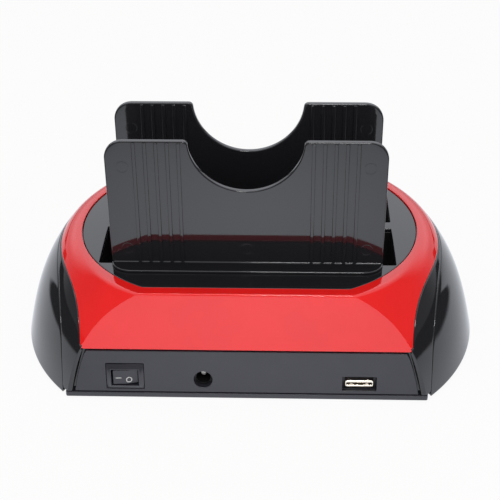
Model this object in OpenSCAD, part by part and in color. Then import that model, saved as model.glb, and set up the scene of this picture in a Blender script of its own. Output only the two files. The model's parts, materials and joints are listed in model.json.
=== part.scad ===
// Two-bay hard drive docking station: a wide black body with bulging side covers,
// a red top cover round an oval deck, two drive bays and an upright guide plate by each.
// Millimetres, +Z up. The origin is on the floor, under the middle of the body.
// The port side faces -Y and the control side faces +Y.

/* [Drive bays] */
// Width of a drive bay
bay_w = 128; // [126:0.5:130]
// Depth of a drive bay, for a 26.1 mm thick drive beside the guide plate's tongue
bay_d = 29.5; // [29.2:0.1:30]
// Width of the bridge between the two bays
bridge_w = 5.8; // [5.4:0.1:6.4]
// Wall of a bay liner
liner_wall = 1.4; // [1.2:0.1:1.6]
// Depth of a bay below the deck
bay_depth = 35; // [33:0.5:36]

/* [Body] */
// Least width of the deck past a bay's corners
deck_corner_w = 1.42; // [1.2:0.02:1.8]
// Distance from a bay to the foot of the nearer long side
side_reach = 29.6; // [28:0.2:32]
// Height of the bays' floor above the bottom of the body
under_bay_h = 15.6; // [15:0.2:18]
// How far each rounded end draws in from the foot to the rim
end_draw_in = 23.2; // [21:0.2:25]
// How far the port side and the control side each draw in from the foot to the rim
front_draw_in = 5.6; // [4.6:0.2:6.4]
// Distance between the two upright axes that the rounded ends are turned about
end_axis_gap = 37.2; // [34:0.2:40]
// Wall of the red top cover and of the side covers
cover_wall = 2.2; // [1.8:0.1:2.6]
// Wall of the black body shell under the covers
shell_wall = 2; // [1.6:0.1:2.4]
// Gap between a cover and what it lies on
cover_gap = 0.2; // [0.1:0.05:0.3]
// Height of the base tray's edge
tray_h = 2.4; // [2.2:0.1:2.8]
// Radius of the rounding between the flank and the flat rim
crest_round = 1.8; // [1:0.2:2.4]

/* [Red cover edge] */
// Height of the red cover's lower edge above the port panel
red_over_panel = 0.86; // [0.6:0.02:1.2]
// Depth of the red cover's lower edge below the rim, at the middle of each rounded end
red_side_drop = 6; // [5:0.5:7]
// How far the red cover's lowest edge runs on round each corner of the port side
red_corner_w = 0.5; // [0.3:0.1:1]

/* [Side covers] */
// Width of the black strip between a side cover and the body's corner, at its foot
corner_strip_w = 2.9; // [2.4:0.1:3.4]
// Height of the black strip between a side cover and the red cover, at mid-depth
side_strip_h = 1.6; // [1.2:0.1:2]
// Height of a side cover's lower edge above the bottom of the body
side_cover_lift = 0.6; // [0.4:0.1:1]

/* [Deck] */
// Width of the flat red rim round the deck
rim_w = 5; // [4.4:0.1:5.6]
// How far the deck lies below the rim
deck_drop = 0.4; // [0.2:0.1:0.5]
// Gap between the deck and the rim
deck_gap = 0.25; // [0.15:0.05:0.3]

/* [Guide plates] */
// Distance from a guide plate's end to the bay's end
guide_end_gap = 5.7; // [5:0.1:7]
// Height of a guide plate above the deck
guide_h = 59.4; // [56:0.2:64]
// Thickness of a guide plate
guide_t = 2.4; // [2.2:0.1:2.6]
// Radius of a guide plate's top outer corners
guide_corner_r = 8; // [6:0.5:10]
// Radius of the finger cut-out
cutout_r = 24; // [22:0.5:26]
// Radius where the finger cut-out meets the top edge
cutout_lip_r = 2; // [1:0.5:3]
// Number of ribs on each side of the finger cut-out
rib_count = 5; // [3:1:6]
// Distance from one rib to the next
rib_pitch = 4.6; // [4:0.1:5]
// Distance from the finger cut-out to the first rib
rib_gap = 1.8; // [1:0.1:3]
// Width of a rib
rib_w = 1.5; // [1.2:0.1:1.8]
// Height of a rib above the plate's face
rib_h = 0.5; // [0.3:0.1:0.7]
// Thickness of the foot
foot_t = 1.1; // [1:0.1:1.6]
// How far the near plate's foot reaches out over the deck
near_foot_reach = 7.2; // [6:0.2:8]
// How far the tongue reaches down into the bay
tongue_h = 9; // [7:0.5:12]

/* [Port panel] */
// Distance from the port panel's ends to the corners of the body
panel_end_gap = 1.7; // [1.4:0.1:2]
// Height of the port panel
panel_h = 20.6; // [20.2:0.1:20.8]
// Thickness of a panel
panel_t = 2; // [1.8:0.1:2.2]
// Width of the groove round a panel
panel_groove = 1; // [0.8:0.1:1.2]
// How far a panel lies behind the face of the body
panel_set = 0.4; // [0.2:0.1:0.6]

/* [Power switch] */
// Distance from the body's corner to the switch
switch_end_gap = 25.1; // [24.6:0.1:27]
// Height of the panel below the switch's frame
switch_sill = 1.5; // [1.2:0.1:1.8]
// Width of the rocker
rocker_w = 11; // [10.6:0.1:11.4]
// Height of the rocker
rocker_h = 7; // [6.6:0.1:7.2]
// Tilt of the rocker to each side
rocker_tilt = 8; // [6:0.5:9]
// Radius of the rocker's two pivot pins
rocker_pin_r = 0.8; // [0.7:0.05:0.9]
// Play between a pivot pin and its hole
pin_play = 0.05; // [0.03:0.01:0.08]
// Width of the sloping frame round the switch
switch_bevel = 2.2; // [1.9:0.1:2.4]
// How far the frame's inner edge stands out of the face of the body
switch_proud = 0.55; // [0.4:0.05:0.6]

/* [Power inlet] */
// Distance from the switch to the power inlet
inlet_gap = 33.7; // [32:0.1:35]
// Height of the power inlet's housing, which stands on the main board
inlet_housing_h = 8; // [7.6:0.1:8.4]
// Radius of the hole in the panel
inlet_hole_r = 4; // [3.8:0.1:4.2]
// Radius of the bore in the inlet's housing
inlet_bore_r = 3.2; // [3:0.1:3.3]
// Radius of the centre pin
inlet_pin_r = 1.05; // [1:0.05:1.25]
// Length of the centre pin's free end
inlet_pin_l = 7.5; // [7:0.5:8]
// Radius of the centre pin's root, which the housing holds
inlet_root_r = 0.8; // [0.7:0.05:0.9]

/* [Data port] */
// Distance from the body's corner to the data port
usb_end_gap = 28.5; // [27:0.1:30]
// Width of the data port's metal shell
usb_w = 13.1; // [13:0.1:13.2]
// Height of the data port's metal shell
usb_h = 4.6; // [4.4:0.1:4.8]
// Depth of the data port's metal shell
usb_d = 14; // [13:0.5:15]
// Wall of the data port's metal shell
usb_wall = 0.4; // [0.3:0.05:0.5]

/* [Control panel] */
// Half width of the control panel
control_half_w = 40; // [36:1:44]
// Radius of the backup button
button_r = 5; // [4:0.2:6]
// How far the backup button travels
button_travel = 0.6; // [0.4:0.1:0.8]
// How far the backup button stands out
button_proud = 0.8; // [0.7:0.1:0.9]
// Radius of an indicator light
light_r = 1.5; // [1.2:0.1:2]
// Distance from the middle to the nearer indicator light
light_x = 16; // [14:0.5:18]
// Distance from one indicator light to the next
light_pitch = 8; // [6:0.5:10]

/* [Board and connectors] */
// Distance from the main board's corners to the inside of the body
board_end_gap = 6.7; // [5:0.1:8]
// Thickness of the main board
board_t = 1.6; // [1.4:0.1:1.8]
// Width of a SATA connector
sata_w = 42; // [40:0.5:43]
// Width of an IDE connector
ide_w = 57; // [56:0.5:58]
// Width of an IDE power socket
ide_power_w = 21; // [20:0.5:21.5]
// Depth of a drive connector's housing
connector_d = 8.8; // [8:0.2:9.4]

/* [Fasteners and feet] */
// Radius of a screw's shank
screw_r = 1.3; // [1.1:0.1:1.4]
// Radius of a screw's head
screw_head_r = 2.6; // [2.4:0.1:2.8]
// Height of a screw's head
screw_head_h = 1.6; // [1.4:0.1:1.8]
// Radius of a rubber foot
foot_r = 6; // [5:0.5:7]
// How far a rubber foot stands below the body
foot_stand = 0.8; // [0.6:0.1:1]

/* [Hidden] */
$fn = 72;

// Overrun of every cut past the face that it opens
cut = 1;
// Sides of the body: the left end or near side is -1, the right end or far side is 1
sides = [-1, 1];
// Share of the draw-in that runs evenly from foot to rim, the rest bulges
even_share = 0.5;
// Power of the bulging part of the draw-in
bulge_power = 3;
// Steps of the end profile from foot to crest
profile_steps = 9;
// Steps of the crest rounding
crest_steps = 3;
// Power with which the red cover's edge falls towards the port side
red_edge_power = 5;
// Power with which a side cover's edge draws in towards the port side
seam_power = 1.3;
// Steps along half of the red cover's edge, and along half of a side cover's edge
edge_steps = 8;

// Radius of a rounded end about its axis, at a height above the bottom of the body
function end_r(up) =
    let (t = up / body_h)
    end_foot_r - end_draw_in * (even_share * t + (1 - even_share) * pow(t, bulge_power));

// Distance of the port side's face from the middle, at a height above the bottom of the body
function front_y(up) = half_d - front_draw_in * up / body_h;

// Distance of the body's corners from the middle, at a height above the bottom of the body
function corner_x(up) = end_axis_x + sqrt(pow(end_r(up), 2) - pow(front_y(up), 2));

body_h = under_bay_h + bay_depth + deck_drop;
half_d = bridge_w / 2 + bay_d + side_reach;
body_d = 2 * half_d;
end_axis_x = end_axis_gap / 2;
end_rim_r = norm([bay_w / 2 - end_axis_x, bridge_w / 2 + bay_d]) + deck_corner_w + rim_w;
end_foot_r = end_rim_r + end_draw_in;
body_w = 2 * (end_foot_r + end_axis_x);
lean = atan(front_draw_in / body_h);

body_low = foot_stand;
rim_z = body_low + body_h;
tray_top = body_low + tray_h;
panel_low = (tray_h + (panel_set + panel_t) * sin(lean)) / cos(lean);
red_front_z = (panel_low + panel_h) * cos(lean) + red_over_panel;
red_side_z = body_h - red_side_drop;
red_half_w = corner_x(red_front_z) + red_corner_w;
seam_front_x = corner_x(0) + corner_strip_w;
seam_side_x = end_axis_x + end_r(red_side_z - side_strip_h);
switch_x = corner_x(0) - switch_end_gap;
inlet_x = switch_x - inlet_gap;
usb_x = corner_x(0) - usb_end_gap;
core_inset = cover_wall + cover_gap;
cavity_inset = core_inset + shell_wall;
deck_top = rim_z - deck_drop;
deck_low = rim_z - core_inset;
deck_t = deck_top - deck_low;
shell_top_low = deck_low - shell_wall;
near_y = -bridge_w / 2 - bay_d;
far_y = bridge_w / 2;
bay_floor_top = deck_top - bay_depth;
bay_floor_low = bay_floor_top - liner_wall;

// Point of a curve that rounds the corner b between a and c
function corner_point(a, b, c, t) = (1 - t) * (1 - t) * a + 2 * t * (1 - t) * b + t * t * c;

// Outline of a rounded end from the axis outwards, drawn in by inset
function end_profile(inset) =
    let (
        top = body_h - inset,
        flank = body_h - crest_round,
        a = [end_r(flank), flank],
        b = [end_r(body_h), body_h],
        c = [end_r(body_h) - crest_round, body_h]
    )
    concat(
        [[0, top], [0, 0]],
        [
            for (i = [0 : profile_steps])
                [end_r(flank * i / profile_steps) - inset, flank * i / profile_steps]
        ],
        inset > 0
            ? [[end_r(body_h) - crest_round / 2 - inset, top]]
            : concat(
                [for (i = [1 : crest_steps]) corner_point(a, b, c, i / (crest_steps + 1))],
                [c]
            )
    );

// The solid inside the body's outer surface, drawn in by inset
module body_solid(inset) {
    translate([0, 0, body_low]) intersection() {
        union() {
            for (side = sides)
                translate([side * end_axis_x, 0, 0])
                    rotate([0, 0, side * 90])
                        rotate_extrude(angle = 180, start = 180)
                            polygon(end_profile(inset));
            translate([-end_axis_x, -half_d, 0])
                cube([end_axis_gap, body_d, body_h - inset]);
        }
        rotate([90, 0, 90])
            translate([0, 0, -body_w / 2])
                linear_extrude(body_w)
                    polygon([
                        [-front_y(0) + inset, 0], [front_y(0) - inset, 0],
                        [front_y(body_h) - inset, body_h], [-front_y(body_h) + inset, body_h]
                    ]);
    }
}

// Half width of the body between the two side covers, at a distance from mid-depth
function seam_x(y) =
    seam_side_x - (seam_side_x - seam_front_x) * pow(min(1, abs(y) / half_d), seam_power);

// Everything between the side covers, out to grow past their edges
module between_side_covers(grow) {
    points = [for (i = [-edge_steps : edge_steps])
        [seam_x(half_d * i / edge_steps) + grow, half_d * i / edge_steps]];
    mirrored = [for (i = [2 * edge_steps : -1 : 0]) [-points[i][0], points[i][1]]];
    translate([0, 0, -cut])
        linear_extrude(rim_z + 2 * cut)
            polygon(concat(
                [[points[0][0], -half_d - cut]], points, [[points[0][0], half_d + cut]],
                [[-points[0][0], half_d + cut]], mirrored, [[-points[0][0], -half_d - cut]]
            ));
}

// Height of the red cover's edge above the bottom of the body, at a distance from mid-depth
function red_edge_z(y) =
    red_side_z - (red_side_z - red_front_z) * pow(abs(y) / front_y(red_front_z), red_edge_power);

// Everything above the red cover's edge, drawn back by gap
module above_red_edge(gap) {
    reach = front_y(red_front_z);
    points = [for (i = [-edge_steps : edge_steps])
        let (y = reach * sin(90 * i / edge_steps)) [y, red_edge_z(y) + gap]];
    translate([0, 0, body_low]) {
        rotate([90, 0, 90])
            translate([0, 0, -body_w / 2 - cut])
                linear_extrude(body_w + 2 * cut)
                    polygon(concat(
                        [[-half_d - cut, red_front_z + gap]], points, [[half_d + cut, red_front_z + gap]],
                        [[half_d + cut, body_h + cut], [-half_d - cut, body_h + cut]]
                    ));
        translate([-red_half_w + gap, -half_d - cut, red_front_z + gap])
            cube([2 * (red_half_w - gap), body_d + 2 * cut, body_h]);
    }
}

// Outline of the deck, grown by grow
module deck_outline(grow) {
    edge_r = end_r(body_h) - rim_w + grow;
    edge_y = front_y(body_h) - rim_w + grow;
    intersection() {
        union() {
            for (side = sides) translate([side * end_axis_x, 0]) circle(edge_r);
            square([end_axis_gap, 2 * edge_r], center = true);
        }
        square([body_w, 2 * edge_y], center = true);
    }
}

// Both bays' rectangles, grown by grow
module bay_outlines(grow) {
    for (y = [near_y, far_y])
        translate([-bay_w / 2 - grow, y - grow])
            square([bay_w + 2 * grow, bay_d + 2 * grow]);
}

// Puts children on the port side's face: X right, Y up the face, Z out of it
module on_port_face() {
    translate([0, -half_d, body_low]) rotate([90 - lean, 0, 0]) children();
}

// Puts children on the control side's face: X left, Y up the face, Z out of it
module on_control_face() {
    rotate([0, 0, 180]) on_port_face() children();
}

// Clearance round whatever passes through or lies beside another piece
play = 0.2;

// Posts of the body shell, which the base screws hold, between the inlet and the switch
post_x = (inlet_x + switch_x) / 2;
post_r = 3;
post_gap = 2.7;
post_y = bridge_w / 2 + bay_d + liner_wall + post_gap + post_r;
body_screw_l = 9;
tray_screw_seat = 0.6;

// The main board's height, and its edges on the port side, on the control side and at its ends
board_lift = 0.8;
board_post_gap = 1;
board_rim_w = 1.5;
board_low = tray_top + board_lift;
board_top = board_low + board_t;
board_near_y = -front_y(board_top - body_low) + cavity_inset + play;
board_far_y = post_y + post_r + board_post_gap + board_rim_w;
board_room_r = end_r(board_top - body_low) - cavity_inset;
board_half_w = end_axis_x + sqrt(pow(board_room_r, 2) - pow(board_near_y, 2)) - board_end_gap;

// Posts of the base tray, which carry the main board
board_post_set = 5;
board_post_y = 27;
board_post_r = 2.6;
board_screw_l = 4;
board_post_x = board_half_w - board_post_set;

// Feet, set in from the widest and deepest points of the body
foot_set_x = 30;
foot_set_y = 22;
foot_x = body_w / 2 - foot_set_x;
foot_y = half_d - foot_set_y;
foot_recess = 1;

// Corner places at plus and minus x and y
function corners(x, y) = [for (sx = sides, sy = sides) [sx * x, sy * y]];
board_places = corners(board_post_x, board_post_y);

// Base tray: flat black plate with a shallow edge, vents, screw seats and board posts
vent_count = 9;
vent_w = 2.4;
vent_l = 22;
vent_pitch = 5.4;
vent_mid_y = 18;
module base_tray() {
    color([0.07, 0.07, 0.08]) difference() {
        union() {
            intersection() {
                union() {
                    intersection() {
                        body_solid(0);
                        between_side_covers(-cover_gap);
                    }
                    body_solid(core_inset);
                }
                translate([-body_w / 2, -body_d / 2, body_low])
                    cube([body_w, body_d, tray_h]);
            }
            for (p = board_places)
                translate([p[0], p[1], body_low])
                    cylinder(r = board_post_r, h = board_low - body_low);
        }
        for (p = corners(post_x, post_y)) translate([p[0], p[1], body_low]) {
            translate([0, 0, -cut]) cylinder(r = screw_r + play, h = tray_h + 2 * cut);
            translate([0, 0, -cut])
                cylinder(r = screw_head_r + play, h = cut + tray_h - tray_screw_seat);
        }
        for (p = board_places)
            translate([p[0], p[1], board_low - board_screw_l + board_t - play])
                cylinder(r = screw_r, h = board_screw_l + cut);
        for (p = corners(foot_x, foot_y))
            translate([p[0], p[1], body_low - cut])
                cylinder(r = foot_r + play, h = foot_recess + cut);
        for (i = [0 : vent_count - 1], side = sides)
            translate([
                (i - (vent_count - 1) / 2) * vent_pitch - vent_w / 2,
                side * vent_mid_y - vent_l / 2,
                body_low - cut
            ])
                cube([vent_w, vent_l, tray_h + 2 * cut]);
    }
}

// Outline of the port panel on the port face, grown by grow, with ends that follow the corners
panel_end_steps = 6;
function panel_end(t, grow) = [
    corner_x((panel_low + panel_h * t) * cos(lean)) - panel_end_gap + grow,
    panel_low + panel_h * t + (t == 1 ? grow : 0)
];
module port_panel_outline(grow) {
    right = [for (i = [0 : panel_end_steps]) panel_end(i / panel_end_steps, grow)];
    polygon(concat(right, [for (i = [panel_end_steps : -1 : 0]) [-right[i][0], right[i][1]]]));
}

// Outline of the control panel on the control face, grown by grow
module control_panel_outline(grow) {
    translate([-control_half_w - grow, panel_low])
        square([2 * (control_half_w + grow), panel_h + grow]);
}

// Body shell: black shell under the covers, with the strips that show between them
panel_ledge = 1.6;
module body_shell() {
    post_low = tray_top;
    color([0.04, 0.04, 0.045]) difference() {
        union() {
            difference() {
                union() {
                    difference() {
                        intersection() {
                            body_solid(0);
                            between_side_covers(-cover_gap);
                        }
                        above_red_edge(-cover_gap);
                    }
                    body_solid(core_inset);
                }
                body_solid(cavity_inset);
            }
            for (p = corners(post_x, post_y))
                translate([p[0], p[1], post_low])
                    cylinder(r = post_r, h = deck_low - shell_wall / 2 - post_low);
        }
        translate([-body_w / 2 - cut, -body_d / 2 - cut, body_low - cut])
            cube([body_w + 2 * cut, body_d + 2 * cut, tray_h + cut]);
        translate([0, 0, shell_top_low - cut])
            linear_extrude(shell_wall + 2 * cut)
                bay_outlines(liner_wall + play);
        for (p = corners(post_x, post_y))
            translate([p[0], p[1], post_low - cut])
                cylinder(r = screw_r, h = body_screw_l + cut);
        on_port_face() {
            translate([0, 0, -panel_set - panel_t])
                linear_extrude(panel_set + panel_t + cut)
                    port_panel_outline(panel_groove);
            translate([0, 0, -cavity_inset - cut])
                linear_extrude(cavity_inset + 2 * cut)
                    port_panel_outline(-panel_ledge);
        }
        on_control_face() {
            translate([0, 0, -panel_set - panel_t])
                linear_extrude(panel_set + panel_t + cut)
                    control_panel_outline(panel_groove);
            translate([0, 0, -cavity_inset - cut])
                linear_extrude(cavity_inset + 2 * cut)
                    control_panel_outline(-panel_ledge);
        }
    }
}

// Top cover: red skin above its edge, with a flat rim round the deck
module top_cover() {
    color([0.85, 0.04, 0.05]) difference() {
        intersection() {
            body_solid(0);
            above_red_edge(0);
        }
        body_solid(cover_wall);
        translate([0, 0, deck_low - cover_wall])
            linear_extrude(2 * cover_wall + cut + core_inset)
                deck_outline(0);
    }
}

// Deck plate: oval black deck with the two bay openings
module deck_plate() {
    color([0.05, 0.05, 0.055]) translate([0, 0, deck_low]) linear_extrude(deck_t) difference() {
        deck_outline(-deck_gap);
        bay_outlines(0);
    }
}

// Side cover: bulging black skin over one rounded end
module side_cover(side) {
    color([0.02, 0.02, 0.022]) difference() {
        intersection() {
            body_solid(0);
            translate([side > 0 ? 0 : -body_w, -body_d, body_low + side_cover_lift])
                cube([body_w, 2 * body_d, body_h]);
        }
        body_solid(cover_wall);
        between_side_covers(0);
    }
}
module left_side_cover() side_cover(-1);
module right_side_cover() side_cover(1);

// Guide plate: upright plate that hooks over the edge of its bay
guide_overhang = 0.6;
guide_step = 0.2;
tongue_inset = 6;
cutout_rise = 0.9;
foot_edge_gap = 0.2;
guide_w = bay_w - 2 * guide_end_gap;
far_foot_reach = bridge_w - guide_overhang - foot_edge_gap;
lip_x = sqrt(pow(cutout_r + cutout_lip_r, 2) - pow(cutout_rise + cutout_lip_r, 2));
rib_first_x = lip_x + rib_gap;
module guide_outline() {
    difference() {
        union() {
            translate([-guide_w / 2, 0]) square([guide_w, guide_h - guide_corner_r]);
            translate([-guide_w / 2 + guide_corner_r, 0])
                square([guide_w - 2 * guide_corner_r, guide_h]);
            for (side = sides)
                translate([side * (guide_w / 2 - guide_corner_r), guide_h - guide_corner_r])
                    circle(guide_corner_r);
        }
        difference() {
            translate([-lip_x, guide_h - cutout_r])
                square([2 * lip_x, cutout_r + cut]);
            translate([-lip_x - cut, guide_h - 2 * cutout_r])
                difference() {
                    square([2 * (lip_x + cut), 2 * cutout_r - cutout_lip_r]);
                    translate([lip_x + cut, 2 * cutout_r + cutout_rise]) circle(cutout_r);
                }
            for (side = sides)
                translate([side * lip_x, guide_h - cutout_lip_r]) circle(cutout_lip_r);
        }
        translate([0, guide_h + cutout_rise]) circle(cutout_r);
    }
}
module guide_plate(bay_y, reach) {
    face_y = bay_y - guide_overhang;
    color([0.06, 0.06, 0.065]) {
        translate([0, face_y + guide_t, deck_top]) rotate([90, 0, 0]) {
            linear_extrude(guide_t) guide_outline();
            linear_extrude(guide_t + rib_h) intersection() {
                for (side = sides, i = [0 : rib_count - 1])
                    translate([side * (rib_first_x + i * rib_pitch) - rib_w / 2, foot_t])
                        square([rib_w, guide_h - foot_t - rib_h]);
                guide_outline();
            }
        }
        translate([-guide_w / 2 + tongue_inset, bay_y + guide_step, deck_top - tongue_h])
            cube([guide_w - 2 * tongue_inset, guide_t - guide_overhang - guide_step, tongue_h + foot_t]);
        translate([0, face_y - reach, deck_top]) linear_extrude(foot_t) intersection() {
            translate([-guide_w / 2, 0]) square([guide_w, reach + guide_t / 2]);
            union() {
                translate([-guide_w / 2 + reach, 0]) square([guide_w - 2 * reach, reach + guide_t]);
                translate([-guide_w / 2, reach]) square([guide_w, reach + guide_t]);
                for (side = sides)
                    translate([side * (guide_w / 2 - reach), reach]) circle(reach);
            }
        }
    }
}
module near_guide_plate() guide_plate(near_y, near_foot_reach);
module far_guide_plate() guide_plate(far_y, far_foot_reach);

// Drive connectors on the main board, side by side across a bay
connector_gap = 1.6;
connector_row_w = sata_w + ide_w + ide_power_w + 2 * connector_gap;
sata_x = -connector_row_w / 2 + sata_w / 2;
ide_x = sata_x + sata_w / 2 + connector_gap + ide_w / 2;
ide_power_x = ide_x + ide_w / 2 + connector_gap + ide_power_w / 2;
connector_stand = 5;
connector_top = bay_floor_top + connector_stand;
connector_h = connector_top - board_top;
window_gap = 0.4;
function bay_mid(bay_y) = bay_y + bay_d / 2;

// Bay liner: open box under a deck opening, with windows for the connectors in its floor
module bay_liner(bay_y) {
    color([0.05, 0.05, 0.055]) difference() {
        translate([-bay_w / 2 - liner_wall, bay_y - liner_wall, bay_floor_low])
            cube([bay_w + 2 * liner_wall, bay_d + 2 * liner_wall, deck_low - bay_floor_low]);
        translate([-bay_w / 2, bay_y, bay_floor_top])
            cube([bay_w, bay_d, bay_depth]);
        translate([
            -connector_row_w / 2 - window_gap, bay_mid(bay_y) - connector_d / 2 - window_gap,
            bay_floor_low - cut
        ])
            cube([
                connector_row_w + 2 * window_gap, connector_d + 2 * window_gap,
                liner_wall + 2 * cut
            ]);
    }
}
module near_bay_liner() bay_liner(near_y);
module far_bay_liner() bay_liner(far_y);

// SATA connector: block with a signal slot and a power slot between two guide posts
sata_signal_w = 10.4;
sata_power_w = 20.6;
sata_slot_gap = 2.4;
sata_slot_d = 2.4;
sata_slot_h = 5.5;
sata_post_w = 3.6;
sata_post_h = 2.5;
module sata_connector(bay_y) {
    slots_w = sata_signal_w + sata_slot_gap + sata_power_w;
    color([0.03, 0.03, 0.03]) translate([sata_x, bay_mid(bay_y), board_top]) difference() {
        union() {
            translate([-sata_w / 2, -connector_d / 2, 0])
                cube([sata_w, connector_d, connector_h - sata_post_h]);
            for (side = sides)
                translate([side * (sata_w - sata_post_w) / 2 - sata_post_w / 2, -connector_d / 2, 0])
                    cube([sata_post_w, connector_d, connector_h]);
        }
        translate([-slots_w / 2, -sata_slot_d / 2, connector_h - sata_post_h - sata_slot_h])
            cube([sata_signal_w, sata_slot_d, sata_slot_h + cut]);
        translate([
            slots_w / 2 - sata_power_w, -sata_slot_d / 2, connector_h - sata_post_h - sata_slot_h
        ])
            cube([sata_power_w, sata_slot_d, sata_slot_h + cut]);
    }
}
module near_sata_connector() sata_connector(near_y);
module far_sata_connector() sata_connector(far_y);

// IDE connector: open shroud with two rows of pin sockets on a raised bar
shroud_wall = 1;
ide_bar_h = 3.5;
ide_floor = 3;
module ide_connector(bay_y) {
    well_low = connector_h - ide_bar_h - ide_floor;
    well_w = ide_w - 2 * shroud_wall;
    well_d = connector_d - 2 * shroud_wall;
    color([0.03, 0.03, 0.03]) translate([ide_x, bay_mid(bay_y), board_top]) difference() {
        translate([-ide_w / 2, -connector_d / 2, 0])
            cube([ide_w, connector_d, connector_h]);
        difference() {
            translate([-well_w / 2, -well_d / 2, well_low])
                cube([well_w, well_d, connector_h - well_low + cut]);
            translate([-ide_w / 2 + 2 * shroud_wall, -connector_d / 4, 0])
                cube([ide_w - 4 * shroud_wall, connector_d / 2, connector_h - ide_floor]);
        }
    }
}
module near_ide_connector() ide_connector(near_y);
module far_ide_connector() ide_connector(far_y);

// IDE power socket: block with four round contacts
power_contact_r = 1.6;
power_contact_pitch = 4.8;
power_contact_count = 4;
power_contact_h = 7;
module ide_power_socket(bay_y) {
    color([0.85, 0.85, 0.8]) translate([ide_power_x, bay_mid(bay_y), board_top]) difference() {
        translate([-ide_power_w / 2, -connector_d / 2, 0])
            cube([ide_power_w, connector_d, connector_h]);
        for (i = [0 : power_contact_count - 1])
            translate([
                (i - (power_contact_count - 1) / 2) * power_contact_pitch, 0,
                connector_h - power_contact_h
            ])
                cylinder(r = power_contact_r, h = power_contact_h + cut);
    }
}
module near_ide_power_socket() ide_power_socket(near_y);
module far_ide_power_socket() ide_power_socket(far_y);

// Power switch, on the port face: its sloping frame lies in a seat in the port panel, and its rocker
// turns about an axis that runs up the panel
rocker_play = 0.4;
rocker_pocket_d = 6.4;
housing_wall = 1.2;
housing_d = 13;
frame_seat = 1;
frame_side_gap = 0.1;
frame_top_gap = 0.5;
frame_edge_t = 0.5;
frame_land = 0.3;
seat_in = panel_set + frame_seat;
rocker_axis_set = 3;
rocker_axis_in = rocker_axis_set - switch_proud;
pin_l = housing_wall - play;
terminal_count = 3;
terminal_pitch = 3.6;
terminal_w = 0.8;
terminal_h = 3;
terminal_l = 4;
module at_switch() {
    on_port_face() translate([-switch_x, switch_up, 0]) children();
}
switch_open_w = rocker_w + 2 * rocker_play;
switch_open_h = rocker_h + 2 * rocker_play;
switch_up = panel_low + switch_sill + switch_bevel + switch_open_h / 2;
frame_w = switch_open_w + 2 * switch_bevel;
frame_h = switch_open_h + 2 * switch_bevel;

// Block round the switch's axis: w wide, h high, from one distance out of the face to another
module switch_block(w, h, from, to) {
    translate([-w / 2, -h / 2, from]) cube([w, h, to - from]);
}
module switch_housing() {
    open_w = switch_open_w;
    open_h = switch_open_h;
    low_out = play - seat_in;
    color([0.03, 0.03, 0.03]) at_switch() difference() {
        union() {
            hull() {
                switch_block(frame_w, frame_h, low_out, low_out + frame_edge_t);
                switch_block(open_w + 2 * frame_land, open_h + 2 * frame_land, low_out, switch_proud);
            }
            switch_block(
                open_w + 2 * housing_wall, open_h + 2 * housing_wall, -seat_in - housing_d, -panel_set
            );
        }
        switch_block(open_w, open_h, switch_proud - rocker_pocket_d, switch_proud + cut);
        translate([0, 0, -rocker_axis_in]) rotate([90, 0, 0])
            cylinder(
                r = rocker_pin_r + pin_play, h = switch_open_h + 2 * housing_wall + 2 * cut,
                center = true
            );
    }
}

// Rocker: two shallow slopes that meet over the pivot, tilted with the right side pressed in
rocker_slope = 5;
rocker_crown = 2.6;
rocker_edge_t = 1;
rocker_keel_half_w = 3;
rocker_keel_h = 2.2;
module switch_rocker() {
    half_w = rocker_w / 2;
    edge = rocker_crown - half_w * tan(rocker_slope);
    color([0.05, 0.05, 0.055]) at_switch() translate([0, 0, -rocker_axis_in])
        rotate([0, rocker_tilt, 0]) {
            rotate([90, 0, 0]) translate([0, 0, -rocker_h / 2]) linear_extrude(rocker_h) polygon([
                [-half_w, edge - rocker_edge_t],
                [-rocker_keel_half_w, -rocker_keel_h], [rocker_keel_half_w, -rocker_keel_h],
                [half_w, edge - rocker_edge_t], [half_w, edge], [0, rocker_crown], [-half_w, edge]
            ]);
            rotate([90, 0, 0])
                cylinder(r = rocker_pin_r, h = rocker_h + 2 * rocker_play + 2 * pin_l, center = true);
        }
}
module switch_terminals() {
    color([0.75, 0.72, 0.6]) at_switch() for (i = [0 : terminal_count - 1])
        translate([
            (i - (terminal_count - 1) / 2) * terminal_pitch - terminal_w / 2, -terminal_h / 2,
            -seat_in - housing_d - terminal_l
        ])
            cube([terminal_w, terminal_h, terminal_l]);
}

// Power inlet, behind the port panel: housing with a bore, centre pin and side contact
inlet_housing_w = 9;
inlet_housing_d = 13;
inlet_bore_d = 10;
inlet_pin_set = 1.4;
contact_t = 0.4;
contact_w = 3;
inlet_z = board_top + inlet_housing_h / 2;
// Distance from mid-depth to the back of the port panel, at a height above the floor
function panel_back_y(z) = front_y(z - body_low) - (panel_set + panel_t) / cos(lean);
// Puts children behind the port panel, level, on the board: X right, Y up, Z out of the port side
module behind_panel(x, z, top) {
    translate([x, -panel_back_y(top) + play, z]) rotate([90, 0, 0]) children();
}
module at_inlet() {
    behind_panel(-inlet_x, inlet_z, inlet_z + inlet_housing_h / 2) children();
}
module power_inlet_housing() {
    color([0.02, 0.02, 0.02]) at_inlet() difference() {
        translate([-inlet_housing_w / 2, -inlet_housing_h / 2, -inlet_housing_d])
            cube([inlet_housing_w, inlet_housing_h, inlet_housing_d]);
        translate([0, 0, -inlet_bore_d])
            cylinder(r = inlet_bore_r, h = inlet_bore_d + cut);
        translate([0, 0, -inlet_housing_d - cut])
            cylinder(r = inlet_root_r, h = inlet_housing_d);
        translate([-contact_w / 2, -inlet_housing_h / 2 - cut, -inlet_housing_d - cut])
            cube([contact_w, contact_t + cut, inlet_housing_d - inlet_pin_set + cut]);
    }
}
module power_inlet_pin() {
    color([0.8, 0.8, 0.78]) at_inlet() {
        translate([0, 0, -inlet_bore_d]) cylinder(r = inlet_pin_r, h = inlet_pin_l);
        translate([0, 0, -inlet_housing_d])
            cylinder(r = inlet_root_r, h = inlet_housing_d - inlet_bore_d + inlet_pin_l / 2);
    }
}
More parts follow.
